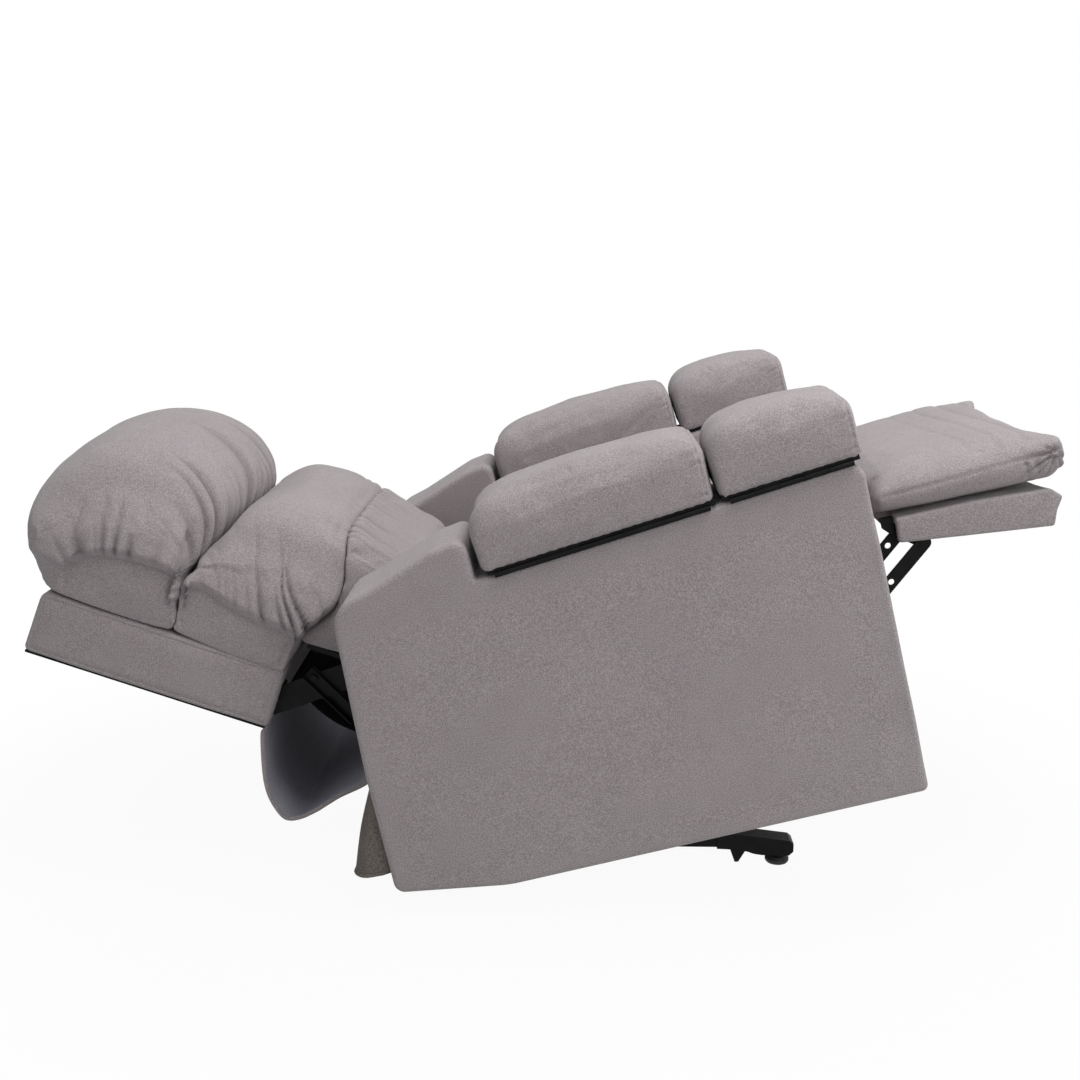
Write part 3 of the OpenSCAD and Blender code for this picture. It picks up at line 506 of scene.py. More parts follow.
def loft(place, rings, caps=(0.75, 0.45, 0.2), dome=0.0):
    """A closed cushion through outlines [(y, [(x, z), ...]), ...] with the same count."""
    bm = bmesh.new()

    def ends(y, line, side):
        middle = line.mean(0)
        return [(y + side * dome * (1 - k * k), middle + (line - middle) * k) for k in caps]

    rows = ends(*rings[0], -1)[::-1] + list(rings) + ends(*rings[-1], 1)
    skin(bm, [[(x, y, z) for x, z in line] for y, line in rows])
    bmesh.ops.transform(bm, matrix=place, verts=bm.verts)
    return bm


# %% [markdown]
# ## Puffing up
# A stuffed cover is cloth under pressure. The piece is first turned into an even net of small
# squares, then Blender's cloth solver blows it up for a few frames while the places where it is
# nailed or sewn are held. No point may move further than a cap, so that it can't burst out of
# its place. Seams and pleats come after that, because the net is too coarse to keep them.


# %% Points of a mesh as an array, in a working place
def points_of(obj, place=None):
    co = np.empty(len(obj.data.vertices) * 3)
    obj.data.vertices.foreach_get("co", co)
    co = co.reshape(-1, 3)
    if place is not None:
        m = np.array(place.inverted())
        co = co @ m[:3, :3].T + m[:3, 3]
    return co


def set_points(obj, co, place=None):
    if place is not None:
        m = np.array(place)
        co = co @ m[:3, :3].T + m[:3, 3]
    obj.data.vertices.foreach_set("co", co.ravel())
    obj.data.update()


def take_modifiers(obj):
    """Replaces the mesh by what its modifiers make of it."""
    material = obj.data.materials[0]
    made = bpy.data.meshes.new_from_object(obj.evaluated_get(
        bpy.context.evaluated_depsgraph_get()))
    obj.modifiers.clear()
    obj.data = made
    if not made.materials:
        made.materials.append(material)
    made.shade_smooth()


def net(obj, size):
    remesh = obj.modifiers.new("net", "REMESH")
    remesh.mode, remesh.voxel_size, remesh.use_smooth_shade = "VOXEL", size, True
    take_modifiers(obj)


def finer(obj):
    fine = obj.modifiers.new("finer", "SUBSURF")
    fine.levels = fine.render_levels = 1
    take_modifiers(obj)


def print_faces(obj):
    print(obj.name, len(obj.data.polygons), "faces")


STIFF = 12.0                # how hard the cover cloth is to stretch


def puff(obj, place, held, cap, pressure, frames, grow=0.0):
    """Cloth under pressure. held(points) says how firmly each point is nailed, 0 to 1."""
    rest = points_of(obj)
    group = obj.vertex_groups.new(name="held")
    weights = held(points_of(obj, place))
    for i in np.nonzero(weights > 0.01)[0]:
        group.add([int(i)], float(weights[i]), "REPLACE")
    cloth = obj.modifiers.new("cloth", "CLOTH")
    s = cloth.settings
    s.quality, s.mass, s.air_damping = 4, 0.25, 2.0
    s.tension_stiffness = s.compression_stiffness = STIFF
    s.shear_stiffness, s.bending_stiffness = STIFF * 0.4, 0.3
    s.use_pressure, s.uniform_pressure_force = True, pressure
    s.effector_weights.gravity = 0
    s.vertex_group_mass, s.pin_stiffness = "held", 2.0
    s.shrink_min = -grow
    cloth.collision_settings.use_collision = False
    cloth.point_cache.frame_start, cloth.point_cache.frame_end = 1, frames
    for f in range(1, frames + 1):
        scene.frame_set(f)
    made = obj.evaluated_get(bpy.context.evaluated_depsgraph_get())
    now = np.empty(len(rest) * 3)
    made.data.vertices.foreach_get("co", now)
    move = now.reshape(-1, 3) - rest
    far = np.linalg.norm(move, axis=1, keepdims=True)
    move *= np.minimum(1, cap / np.maximum(far, 1e-9))
    obj.modifiers.clear()
    obj.vertex_groups.clear()
    set_points(obj, rest + move)
    scene.frame_set(1)
    print(obj.name, "puffed up by", round(float(np.minimum(far, cap).mean()) * 1000, 1), "mm")


def press(obj, place, swell, folds=None):
    """Moves each point along its normal by swell(points) + folds(points), in metres.

    The depth of the folds stays on the mesh, so that the cloth's colour can be painted darker in
    them, as painted shade."""
    normals = np.empty(len(obj.data.vertices) * 3)
    obj.data.vertex_normals.foreach_get("vector", normals)
    there = points_of(obj, place)
    offset = swell(there)
    if folds:
        deep = folds(there)
        offset = offset + deep
        # Painted shade: the depth of folds and seams is kept, and the cloth's colour darkens with
        # it.
        mark = obj.data.attributes.new("fold", "FLOAT", "POINT")
        mark.data.foreach_set("value", np.clip(-deep / 0.009, 0, 1))
    set_points(obj, points_of(obj) + normals.reshape(-1, 3) * offset[:, None])


# %% [markdown]
# ## Seams, gathers and slack
# A seam is a fine groove. Cloth that is longer than the seam it is sewn to stands in gathers:
# short valleys that start sharply at the seam, each with its own length and depth. Loose covers
# also have some slack all over, a slow waviness without any direction.


# %% Fields on the surface
BATCH = 20000               # points that are measured at once, to spare memory


def near_line(points, line):
    """How far each point is from a line, and where along it, both in metres."""
    line = np.asarray(line, float)
    run = np.concatenate([[0], np.cumsum(np.linalg.norm(np.diff(line, axis=0), axis=1))])
    ahead = np.gradient(line, axis=0)
    ahead /= np.linalg.norm(ahead, axis=1, keepdims=True)
    far, where = np.zeros(len(points)), np.zeros(len(points))
    for k in range(0, len(points), BATCH):
        part = points[k:k + BATCH]
        d = np.linalg.norm(part[:, None] - line[None], axis=2)
        best = d.argmin(1)
        past = np.clip(((part - line[best]) * ahead[best]).sum(1), -0.006, 0.006)
        far[k:k + BATCH] = np.sqrt(np.maximum(d.min(1) ** 2 - past ** 2, 0))
        where[k:k + BATCH] = run[best] + past
    return far, where


def groove(far, depth=0.002, width=0.003):
    return -depth * np.exp(-(far / width) ** 2)


def gathers(far, where, pitch, depth, reach, seed, sharp=0.17, power=1.3):
    """Valleys across a seam, one in each pitch, that fade out at about reach from it."""
    draw = np.random.default_rng(seed)
    lengths, depths = 0.4 + 1.1 * draw.random(128), 0.35 + 0.8 * draw.random(128)
    phase = (where / pitch + 0.34 * np.sin(where / pitch * 1.13 + seed)
             + 0.15 * np.sin(where / pitch * 2.37 + 2 * seed))
    fold = np.round(phase).astype(int) % 128
    valley = np.exp(-(np.abs(phase - np.round(phase)) / sharp) ** 1.4)
    fade = np.clip(1 - far / (reach * lengths[fold]), 0, 1) ** power
    return -depth * depths[fold] * valley * fade


def slack(points, size, depth, seed=0):
    return depth * np.array([noise.noise(Vector(p) / size + Vector((seed, 0, 0)))
                             for p in points.tolist()])


def smoothstep(value, low, high):
    k = np.clip((value - low) / (high - low), 0, 1)
    return k * k * (3 - 2 * k)


# %% [markdown]
# ## Arms
# Each arm is a plywood box with thin foam under one tight cover. Its side panels are almost
# flat, its rims are soft, and the deck under the lids has a storage well and a cup hole. It is
# drawn as a slab with rounded rims, the wells are cut out of it, and then the large
# panels are sliced into a grid so that they can swell by a millimetre or two.

# %% Shape of an arm, level, in metres
ARM_IN, ARM_OUT = 0.262, 0.430
ARM_LINE = rounded([(0.548, 0.030, 0.011), (0.548, 0.553, 0.026), (-0.041, 0.5106, 0.003),
                    (-0.041, 0.576, 0.018), (-0.092, 0.569, 0.060), (-0.195, 0.533, 0.060),
                    (-0.262, 0.516, 0.046), (-0.281, 0.250, 0.300), (-0.286, 0.054, 0.018),
                    (-0.110, 0.026, 0.200)], 8)
STORAGE_WELL = (0.022, 0.288, -0.108), (0.330, 0.404, 0.06)
CUP_AT, CUP_RADIUS, CUP_DEEP = (0.4645, 0.346, -0.011), 0.0473, 0.14
MIRROR = Matrix.Scale(-1, 4, (0, 1, 0))
SIDES = ((1, "left"), (-1, "right"))


def on_side(place, side):
    """A place as it is on the left, or mirrored for the right."""
    return place if side > 0 else place @ MIRROR


def cut_away(obj, *cutters):
    for cutter in cutters:
        cut = obj.modifiers.new("cut", "BOOLEAN")
        cut.operation, cut.solver, cut.object = "DIFFERENCE", "EXACT", cutter
    take_modifiers(obj)
    for cutter in cutters:
        bpy.data.objects.remove(cutter)


def box_cutter(place, low, high):
    bm = bmesh.new()
    bmesh.ops.create_cube(bm, size=1)
    size = Vector(high) - Vector(low)
    bmesh.ops.scale(bm, vec=size, verts=bm.verts)
    bmesh.ops.translate(bm, vec=(Vector(low) + Vector(high)) / 2, verts=bm.verts)
    bmesh.ops.transform(bm, matrix=place, verts=bm.verts)
    return piece("cutter", bm, cover)


def round_cutter(place, centre, radius, depth):
    bm = bmesh.new()
    bmesh.ops.create_cone(bm, cap_ends=True, segments=48, radius1=radius, radius2=radius,
                          depth=depth)
    bmesh.ops.translate(bm, vec=centre, verts=bm.verts)
    bmesh.ops.transform(bm, matrix=place, verts=bm.verts)
    return piece("cutter", bm, cover)


def panel_swell(p):
    """The outer panel swells between its rims, and the front panel is slightly uneven."""
    between_rims = (smoothstep(0.49 + 0.04 * p[:, 0] - p[:, 2], 0, 0.07)
                    * smoothstep(p[:, 0], -0.29, -0.18)
                    * smoothstep(-p[:, 0], -0.545, -0.46) * smoothstep(p[:, 2], 0.03, 0.10))
    outer = (np.abs(p[:, 1] - ARM_OUT) < 0.003) * (0.0015 + slack(p, 0.13, 0.0016))
    return outer * between_rims + (p[:, 0] > 0.54) * slack(p, 0.10, 0.0016, 3)


def corner_dent(p):
    """A shallow dent low on the front rim."""
    across = np.hypot(p[:, 0] - 0.545, (p[:, 2] - 0.062) / 5)
    return groove(across, 0.0016, 0.004) * (np.abs(p[:, 1] - ARM_OUT) < 0.008)


# %% Both arms
for side, name in SIDES:
    hand, deck = on_side(chassis, side), on_side(rail, side)
    arm = piece("arm_cover_" + name, slab(hand, ARM_LINE, ARM_IN, ARM_OUT, 0.009, 5), cover)
    cut_away(arm, box_cutter(deck, *STORAGE_WELL),
             round_cutter(deck, CUP_AT, CUP_RADIUS, CUP_DEEP))
    bm = bmesh.new()
    bm.from_mesh(arm.data)
    slice_up(bm, hand, 0.016)
    bm.to_mesh(arm.data)
    bm.free()
    press(arm, hand, panel_swell, corner_dent)
    arm.data.set_sharp_from_angle(angle=math.radians(50))
    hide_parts("arm_" + name)
    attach(arm, "chassis")
    print_faces(arm)

# %% [markdown]
# ## Lid hinges
# Each lid turns on a piano hinge along the arm's outer rim: a narrow leaf on the arm, three of
# its five knuckles, and the pin through all of them. The lid's board carries the other two.

# %% Hinge leaves and pins
HINGE_RUNS = (0.012, 0.342), (0.372, 0.557)     # under the rear and the front lid
LEAF_OUT, LEAF_HIGH, LEAF_DROP = 0.432, 0.0045, 0.0023
KNUCKLE_Y, KNUCKLE_R, KNUCKLE_GAP, PIN_R = 0.434, 0.004, 0.0004, 0.0018


def rod_along(bm, u0, u1, radius):
    made = bmesh.ops.create_cone(bm, cap_ends=True, segments=20, radius1=radius, radius2=radius,
                                 depth=u1 - u0)["verts"]
    bmesh.ops.rotate(bm, verts=made, matrix=Matrix.Rotation(math.pi / 2, 3, "Y"))
    bmesh.ops.translate(bm, verts=made, vec=((u0 + u1) / 2, KNUCKLE_Y, 0))


for side, name in SIDES:
    bm = bmesh.new()
    for u0, u1 in HINGE_RUNS:
        leaf = bmesh.ops.create_cube(bm, size=1)["verts"]
        bmesh.ops.scale(bm, verts=leaf, vec=(u1 - u0, LEAF_OUT - ARM_OUT, LEAF_HIGH))
        middle = ((u0 + u1) / 2, (LEAF_OUT + ARM_OUT) / 2, -LEAF_DROP)
        bmesh.ops.translate(bm, verts=leaf, vec=middle)
        rod_along(bm, u0, u1, PIN_R)
        fifth = (u1 - u0) / 5
        for i in (0, 2, 4):
            start = u0 + i * fifth
            rod_along(bm, start + KNUCKLE_GAP, start + fifth - KNUCKLE_GAP, KNUCKLE_R)
    bmesh.ops.transform(bm, matrix=on_side(rail, side), verts=bm.verts)
    hinge = piece("hinge_" + name, bm, black_steel, 40)
    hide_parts("hinge_leaves_" + name)
    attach(hinge, "chassis")
    print_faces(hinge)

# %% [markdown]
# ## Arm pads
# A pad is a foam block under one cover: flat sides, a soft crown and a full rear corner. The
# end is closed by a strip, sewn on with a seam that pulls small pleats into the side. The block
# is drawn as a row of outlines, puffed up a little, and the seam and its pleats are pressed in.


# %% Four pads
PAD_FLOOR, PAD_HALF, PAD_MIDDLE, PAD_ROUND = 0.0065, 0.0855, 0.3485, 0.026


def both_ways(*stops):
    """Stops from the middle outwards, as a row from one side to the other."""
    return [-s for s in stops[:0:-1]] + list(stops)


def pad_line(u0, u1, tops, top_in, end_in):
    return even(rounded([
        (u0 + end_in, PAD_FLOOR, 0.005), (u1 - end_in, PAD_FLOOR, 0.005),
        (u1 + 0.004 - end_in, tops[2] - top_in, 0.026),
        ((u0 + u1) / 2, tops[1] - top_in, 0.15), (u0 + end_in - 0.001, tops[0] - top_in, 0.046)]),
        110)


def arm_pad(name, u0, u1, tops):
    rings = []
    for s in both_ways(0, 0.25, 0.5, 0.75, 0.88, 0.95, 0.985, 1):
        deep = max(0, abs(s) * PAD_HALF - (PAD_HALF - PAD_ROUND))
        top_in = PAD_ROUND - math.sqrt(PAD_ROUND ** 2 - deep ** 2)
        rings.append((PAD_MIDDLE + s * PAD_HALF, pad_line(u0, u1, tops, top_in, top_in * 0.35)))
    pad = piece(name, loft(rail, rings, dome=0.0025), cover, 180)
    net(pad, 0.005)
    puff(pad, rail, lambda p: np.maximum(
        1 - smoothstep(p[:, 2], PAD_FLOOR, PAD_FLOOR + 0.006),
        0.7 * np.exp(-((p[:, 0] - u1 + 0.010) / 0.006) ** 2)), 0.005, 3.0, frames=14)
    finer(pad)

    def rise(p):
        return smoothstep(p[:, 2], PAD_FLOOR, PAD_FLOOR + 0.012)

    def sewn(p):
        seam = np.abs(p[:, 0] - (u1 - 0.010 + 0.05 * p[:, 2]))
        behind = p[:, 0] < u1 - 0.009 + 0.05 * p[:, 2]
        along = p[:, 2] + np.abs(p[:, 1] - PAD_MIDDLE)
        pleats = gathers(seam, along, 0.012, 0.0022, 0.022, 5) * behind
        return (groove(seam, 0.0018, 0.0022) + pleats) * rise(p)

    press(pad, rail, lambda p: (slack(p, 0.07, 0.002) + slack(p, 0.03, 0.0006, 4)) * rise(p), sewn)
    return pad


def mirrored(obj, name):
    """The same piece on the other side of the chair."""
    made = bpy.data.objects.new(name, obj.data.copy())
    scene.collection.objects.link(made)
    bm = bmesh.new()
    bm.from_mesh(made.data)
    bmesh.ops.scale(bm, vec=(1, -1, 1), verts=bm.verts)
    bmesh.ops.reverse_faces(bm, faces=bm.faces)
    bm.to_mesh(made.data)
    bm.free()
    return made


for which, u0, u1, tops in (("rear", -0.007, 0.3525, (0.108, 0.117, 0.106)),
                            ("front", 0.3590, 0.575, (0.110, 0.114, 0.095))):
    left = arm_pad(which + "_pad_cover_left", u0, u1, tops)
    for pad, side in ((left, "left"), (mirrored(left, which + "_pad_cover_right"), "right")):
        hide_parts(which + "_pad_" + side)
        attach(pad, which + "_lid_" + side)
        print_faces(pad)

# %% [markdown]
# ## Back: box, head pillow, middle and lumbar cushions
# The back is an upholstered box that carries three stuffed cushions. The head pillow is the
# largest: a soft roll whose cover is gathered into a flat side gusset. The middle cushion
# swells over the box's edge, and the lumbar cushion fills the small of the back.

# %% The box behind the cushions
BACK_LENGTH, BACK_THICK, BACK_HALF = 0.411, 0.103, 0.280
back_line = rounded([(0, 0, 0.006), (BACK_LENGTH, 0, 0.010),
                     (BACK_LENGTH - 0.006, BACK_THICK + 0.003, 0.016), (0, BACK_THICK, 0.010)], 5)
bm = slab(cushions, back_line, -BACK_HALF, BACK_HALF, 0.007, 4, 0.0012)
slice_up(bm, cushions, 0.018)
box = piece("back_box_cover", bm, cover, 50)
press(box, cushions, lambda p: slack(p, 0.09, 0.0014) * (p[:, 2] > 0.004)
      + 0.0015 * (np.abs(p[:, 1]) > BACK_HALF - 0.004)
      * smoothstep(p[:, 0], 0, 0.12) * smoothstep(-p[:, 0], -0.41, -0.3))
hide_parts("back_box")
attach(box, "backrest")

bm = slab(cushions, rounded([(0.004, -0.0032, 0.001), (0.408, -0.0032, 0.001),
                             (0.408, 0.001, 0.0005), (0.004, 0.001, 0.0005)], 2),
          -BACK_HALF + 0.003, BACK_HALF - 0.003, 0.0008, 2)
panel = piece("back_dust_panel", bm, dust_and_shade_cloth, 40)
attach(panel, "backrest")
print_faces(box)


# %% Side outlines of the cushions
# Each cushion is a few side outlines in (along, away) pairs, in millimetres: at the middle, at
# the crown of its side lobe, where it rolls over, and at its fullest just above the gusset.
FACE = 0.1063           # where the cushions lie on the box
PILLOW = {
    0: [(192, 107), (197, 160), (198, 200), (178, 240), (154, 292), (163, 340), (203, 376),
        (260, 391), (330, 387), (400, 360), (452, 310), (482, 245), (476, 180), (443, 130),
        (400, 107)],
    200: [(192, 107), (197, 157), (199, 195), (184, 232), (170, 276), (182, 318), (219, 350),
          (268, 364), (330, 360), (392, 336), (440, 291), (470, 235), (465, 175), (435, 130),
          (395, 107)],
    266: [(194, 108), (198, 150), (199, 183), (194, 210), (194, 238), (206, 262), (236, 281),
          (277, 288), (327, 285), (380, 267), (418, 238), (442, 204), (438, 165), (416, 128),
          (385, 108)],
    292: [(196, 111), (197, 150), (199, 172), (200, 187), (203, 198), (220, 204), (246, 206),
          (280, 205), (315, 200), (346, 190), (370, 175), (384, 158), (386, 140), (378, 122),
          (366, 111)]}
MIDDLE = {
    0: [(189, 107), (192, 160), (194, 200), (172, 250), (140, 308), (96, 339), (42, 347),
        (-8, 341), (-27, 335), (-44, 270), (-20, 190), (-2, 107)],
    200: [(189, 107), (192, 160), (194, 200), (176, 245), (150, 300), (104, 336), (44, 344),
          (-6, 338), (-27, 331), (-46, 262), (-20, 190), (-2, 107)],
    262: [(189, 107), (192, 150), (195, 190), (184, 221), (156, 248), (108, 268), (46, 272),
          (-6, 268), (-38, 258), (-44, 226), (-18, 170), (-1, 102)],
    291: [(190, 113), (192, 145), (195, 172), (194, 189), (165, 191), (115, 179), (55, 168),
          (4, 165), (-9, 157), (-10, 140), (-6, 120), (2, 99)]}
LUMBAR = {
    0: [(-8, 147), (-20, 195), (-50, 240), (-42, 290), (-25, 341), (-62, 334), (-110, 324),
        (-160, 318), (-184, 290), (-186, 235), (-165, 155), (-90, 147)],
    190: [(-8, 147), (-20, 192), (-48, 232), (-44, 280), (-26, 336), (-62, 329), (-108, 318),
          (-156, 308), (-180, 280), (-182, 232), (-163, 155), (-90, 147)],
    238: [(-10, 148), (-20, 185), (-46, 220), (-46, 260), (-33, 308), (-66, 304), (-110, 294),
          (-152, 280), (-172, 256), (-176, 222), (-158, 155), (-88, 148)],
    256: [(-16, 156), (-24, 180), (-44, 200), (-47, 226), (-43, 252), (-72, 254), (-112, 250),
          (-144, 240), (-160, 226), (-164, 205), (-150, 165), (-88, 156)]}


# Where each cushion meets the next one: heights along the back at distances from its face
SEAMS = (((0.10, 0.190), (0.133, 0.190), (0.170, 0.196), (0.200, 0.199), (0.228, 0.186),
          (0.262, 0.164), (0.300, 0.148), (0.360, 0.135)),
         ((0.10, 0.0), (0.150, -0.003), (0.185, -0.014), (0.230, -0.047), (0.265, -0.048),
          (0.300, -0.038), (0.335, -0.026), (0.37, -0.020)))


def seam_at(i, n):
    return np.interp(n, *np.array(SEAMS[i]).T)


def stuffed(place, outlines, above=None, below=None, gusset=None):
    """A cushion through its outlines, kept on its side of the seams, with a boxed gusset."""
    stops = sorted(outlines)
    rows = [(s * y, outlines[y]) for s in (-1, 1) for y in stops[::s] if s > 0 or y]
    rows = curve_through([np.concatenate([[y], np.ravel(line)]) for y, line in sorted(
        rows, key=lambda row: row[0])], 5)
    rings = []
    for row in rows / 1000:
        line = curve_through(row[1:].reshape(-1, 2), 8, closed=True)
        if above is not None:
            line[:, 0] = np.maximum(line[:, 0], seam_at(above, line[:, 1]) + 0.0004)
        if below is not None:
            line[:, 0] = np.minimum(line[:, 0], seam_at(below, line[:, 1]) - 0.0004)
        rings.append((row[0], line))
    if gusset:
        y, line = rings[-1]
        middle = line.mean(0)
        sides = [(y - 0.007, middle + (line - middle) * 0.90),
                 (y - 0.001, middle + (line - middle) * 0.84)]
        rings += sides
        rings = [(-a, b) for a, b in sides[::-1]] + rings
    return loft(place, rings, dome=0.003)


def along_gusset(outline, half, low, shrink=0.90):
    """The gusset seam of both sides as one run of points."""
    line = curve_through(np.array(outline) / 1000, 8, closed=True)
    middle = line.mean(0)
    line = middle + (line - middle) * shrink
    line = line[line[:, 1] > low]
    line = line[np.argsort(-line[:, 0])]
    return np.concatenate([[(t, s * half, n) for t, n in line] for s in (-1, 1)])


def gusset_height(seam, along):
    """How far out the gusset's seam is, at heights along the back."""
    line = seam[:len(seam) // 2][::-1]
    return np.interp(along, line[:, 0], line[:, 2])


def overhang(obj, seam, out):
    """Pushes the cover out above the gusset's seam, and the gusset in."""
    p = points_of(obj, cushions)
    above = p[:, 2] - gusset_height(seam, p[:, 0])
    push = out * smoothstep(above, -0.001, 0.020) * (1 - smoothstep(above, 0.045, 0.12))
    push -= 0.0035 * smoothstep(-above, 0, 0.006) + 0.003
    p[:, 1] += np.sign(p[:, 1]) * smoothstep(np.abs(p[:, 1]), 0.215, 0.275) * push
    set_points(obj, p, cushions)


def pinned(low, half):
    """Held where the cover is nailed to the box, and along its two sides."""
    return lambda p: np.maximum(1 - smoothstep(p[:, 2], low, low + 0.010),
                                smoothstep(np.abs(p[:, 1]), half - 0.020, half - 0.008))


# %% Head pillow
pillow = piece("head_pillow_cover", stuffed(cushions, PILLOW, above=0, gusset=True), cover, 180)
net(pillow, 0.0055)
puff(pillow, cushions, pinned(FACE, 0.292), 0.004, 3.0, grow=0.02, frames=14)
finer(pillow)
pillow_seam = along_gusset(PILLOW[292], 0.287, 0.150)
overhang(pillow, pillow_seam, 0.017)
pillow_edge = pillow_seam * [1, 1.03, 1]
valley = np.array([(0.166 + 0.02 * abs(y / 0.28) ** 2, y, 0.268 - 0.055 * abs(y / 0.28) ** 2)
                   for y in np.linspace(-0.285, 0.285, 90)])


def pillow_folds(p):
    far, where = near_line(p, pillow_edge)
    side = (gathers(far, where, 0.031, 0.0110, 0.095, 3, 0.20, 0.9)
            + gathers(far, where, 0.019, 0.0045, 0.055, 8, 0.22, 0.9))
    deep, run = near_line(p, valley)
    front = smoothstep(-p[:, 0], -0.33, -0.22)
    fan = run + 0.30 * deep * np.sign(p[:, 1])
    folds = (gathers(deep, fan, 0.037, 0.0120, 0.200, 11, 0.19, 0.8)
             + gathers(deep, fan, 0.021, 0.0050, 0.130, 14, 0.22, 0.9)) * front
    face = smoothstep(p[:, 2] - gusset_height(pillow_seam, p[:, 0]), 0.001, 0.012)
    edge = smoothstep(np.abs(p[:, 1]), 0.19, 0.26)
    return side * edge * face + folds * smoothstep(p[:, 2], 0.20, 0.26) \
        + groove(near_line(p, pillow_seam)[0], 0.004, 0.004) * edge


press(pillow, cushions, lambda p: (slack(p, 0.15, 0.006) + slack(p, 0.05, 0.0016, 5))
      * smoothstep(p[:, 2], FACE, FACE + 0.05), pillow_folds)

# %% Middle cushion
middle = piece("middle_cushion_cover", stuffed(cushions, MIDDLE, above=1, below=0, gusset=True),
               cover, 180)
net(middle, 0.0055)
puff(middle, cushions, pinned(FACE, 0.291), 0.004, 3.0, grow=0.02, frames=14)
finer(middle)
middle_seam = along_gusset(MIDDLE[291], 0.286, 0.150)
overhang(middle, middle_seam, 0.012)
lobe_seam = np.concatenate([[(t, s * (0.196 + 0.1 * (0.075 - t) ** 2), 0.342)
                             for t in np.linspace(0.09, -0.02, 60)] for s in (-1, 1)])


def middle_folds(p):
    far, where = near_line(p, middle_seam)
    lower = smoothstep(-p[:, 0], -0.13, -0.02) + 0.25
    lean = where + 0.75 * far
    side = gathers(far, lean, 0.023, 0.0100, 0.120, 21, 0.20, 0.9) * lower
    ridge, run = near_line(p, lobe_seam)
    pleats = gathers(ridge, run, 0.017, 0.0032, 0.034, 33, 0.22) \
        * smoothstep(-p[:, 0], -0.06, 0.0) * smoothstep(p[:, 2], 0.30, 0.33)
    edge = smoothstep(np.abs(p[:, 1]), 0.20, 0.27)
    face = smoothstep(p[:, 2] - gusset_height(middle_seam, p[:, 0]), 0.001, 0.012)
    return side * edge * face + pleats + groove(far, 0.0032, 0.004) * edge \
        + groove(ridge, 0.0015, 0.004)


press(middle, cushions, lambda p: (slack(p, 0.13, 0.005, 2) + slack(p, 0.05, 0.0013, 9))
      * smoothstep(p[:, 2], FACE, FACE + 0.05), middle_folds)

# %% Lumbar cushion
lumbar = piece("lumbar_cushion_cover", stuffed(cushions, LUMBAR, below=1), cover, 180)
net(lumbar, 0.0055)
puff(lumbar, cushions, pinned(0.1463, 0.256), 0.004, 3.0, grow=0.02, frames=12)
finer(lumbar)
creases = [np.array([(t0 - 0.010 * math.sin(3 * k), s * (y0 + (y1 - y0) * k), n0 + (n1 - n0) * k)
                     for k in np.linspace(0, 1, 40)])
           for s in (-1, 1) for t0, n0, y0, n1, y1 in (
               (-0.086, 0.262, 0.246, 0.330, 0.125), (-0.130, 0.25, 0.246, 0.322, 0.165))]


def lumbar_folds(p):
    total = np.zeros(len(p))
    for line in creases:
        far, where = near_line(p, line)
        run = np.clip(where / where.max(), 0, 1)
        fade = smoothstep(run, 0.0, 0.25) * (1 - smoothstep(run, 0.55, 1.0)) ** 1.5
        total += groove(far, 0.0125, 0.0055) * fade
    top_seam = np.array([(-0.028, y, 0.330) for y in np.linspace(-0.22, 0.22, 80)])
    far, where = near_line(p, top_seam)
    return total + gathers(far, where, 0.029, 0.0065, 0.085, 31, 0.18)


press(lumbar, cushions, lambda p: slack(p, 0.10, 0.004, 4) + slack(p, 0.04, 0.001, 6), lumbar_folds)

for made, node_name in ((pillow, "head_pillow"), (middle, "middle_cushion"),
                        (lumbar, "lumbar_cushion")):
    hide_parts(node_name)
    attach(made, "backrest")
    print_faces(made)
across = (cushions.to_3x3() @ Vector((0, 1, 0))).normalized()
cushions @ Vector((0.1, 0, 0.1))
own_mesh(middle)

# %% [markdown]
# ## Seat cushion
# The seat is a boxed cushion between the arms, with a fuller front edge where the knees bend.

# %% Seat cushion, level on the chassis
SEAT_HALF, SEAT_STEPS = 0.2575, 9


def seat_line(front_in, crown):
    return even(rounded([(-0.020, 0.3942, 0.010), (0.530 - front_in, 0.3942, 0.018),
                         (0.532 - front_in, 0.486 + crown, 0.045),
                         (0.25, 0.488 + crown * 1.8, 0.6), (-0.020, 0.484 + crown, 0.028)], 8), 130)


rings = []
for i in range(-SEAT_STEPS, SEAT_STEPS + 1):
    out = math.sin(math.pi / 2 * i / SEAT_STEPS)
    crown = 0.007 * math.sqrt(max(0, 1 - abs(out) ** 3)) - 0.004
    rings.append((SEAT_HALF * out, seat_line(0.012 * abs(i / SEAT_STEPS) ** 4, crown)))
seat = piece("seat_cushion_cover", loft(chassis, rings, dome=0.001), cover, 180)
net(seat, 0.008)
finer(seat)
seat_seams = np.concatenate([[(x, s * SEAT_HALF, 0.474) for x in np.linspace(-0.02, 0.53, 120)]
                             for s in (-1, 1)] + [[(0.515, y, 0.492) for y in
                                                   np.linspace(-0.256, 0.256, 100)]])
press(seat, chassis, lambda p: slack(p, 0.10, 0.003, 7) * smoothstep(p[:, 2], 0.40, 0.44),
      lambda p: groove(near_line(p, seat_seams)[0], 0.0022, 0.003)
      + gathers(*near_line(p, seat_seams), 0.03, 0.0015, 0.04, 41))
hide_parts("seat_cushion")
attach(seat, "chassis")
print_faces(seat)

# %% [markdown]
# ## Footrest
# The footrest has two tiers. The upper one is a fat pad whose side has a seam at half height
# and whose outer corner is pinched. The lower one is a padded board. Both ends are hollowed
# like a shallow bow, so the corners stand proud of the middle.

# %% Footrest pad, level on the chassis
PAD_X0, PAD_X1, PAD_LOW, PAD_TOP, PAD_WIDE = 0.579, 0.881, 0.4113, 0.485, 0.256


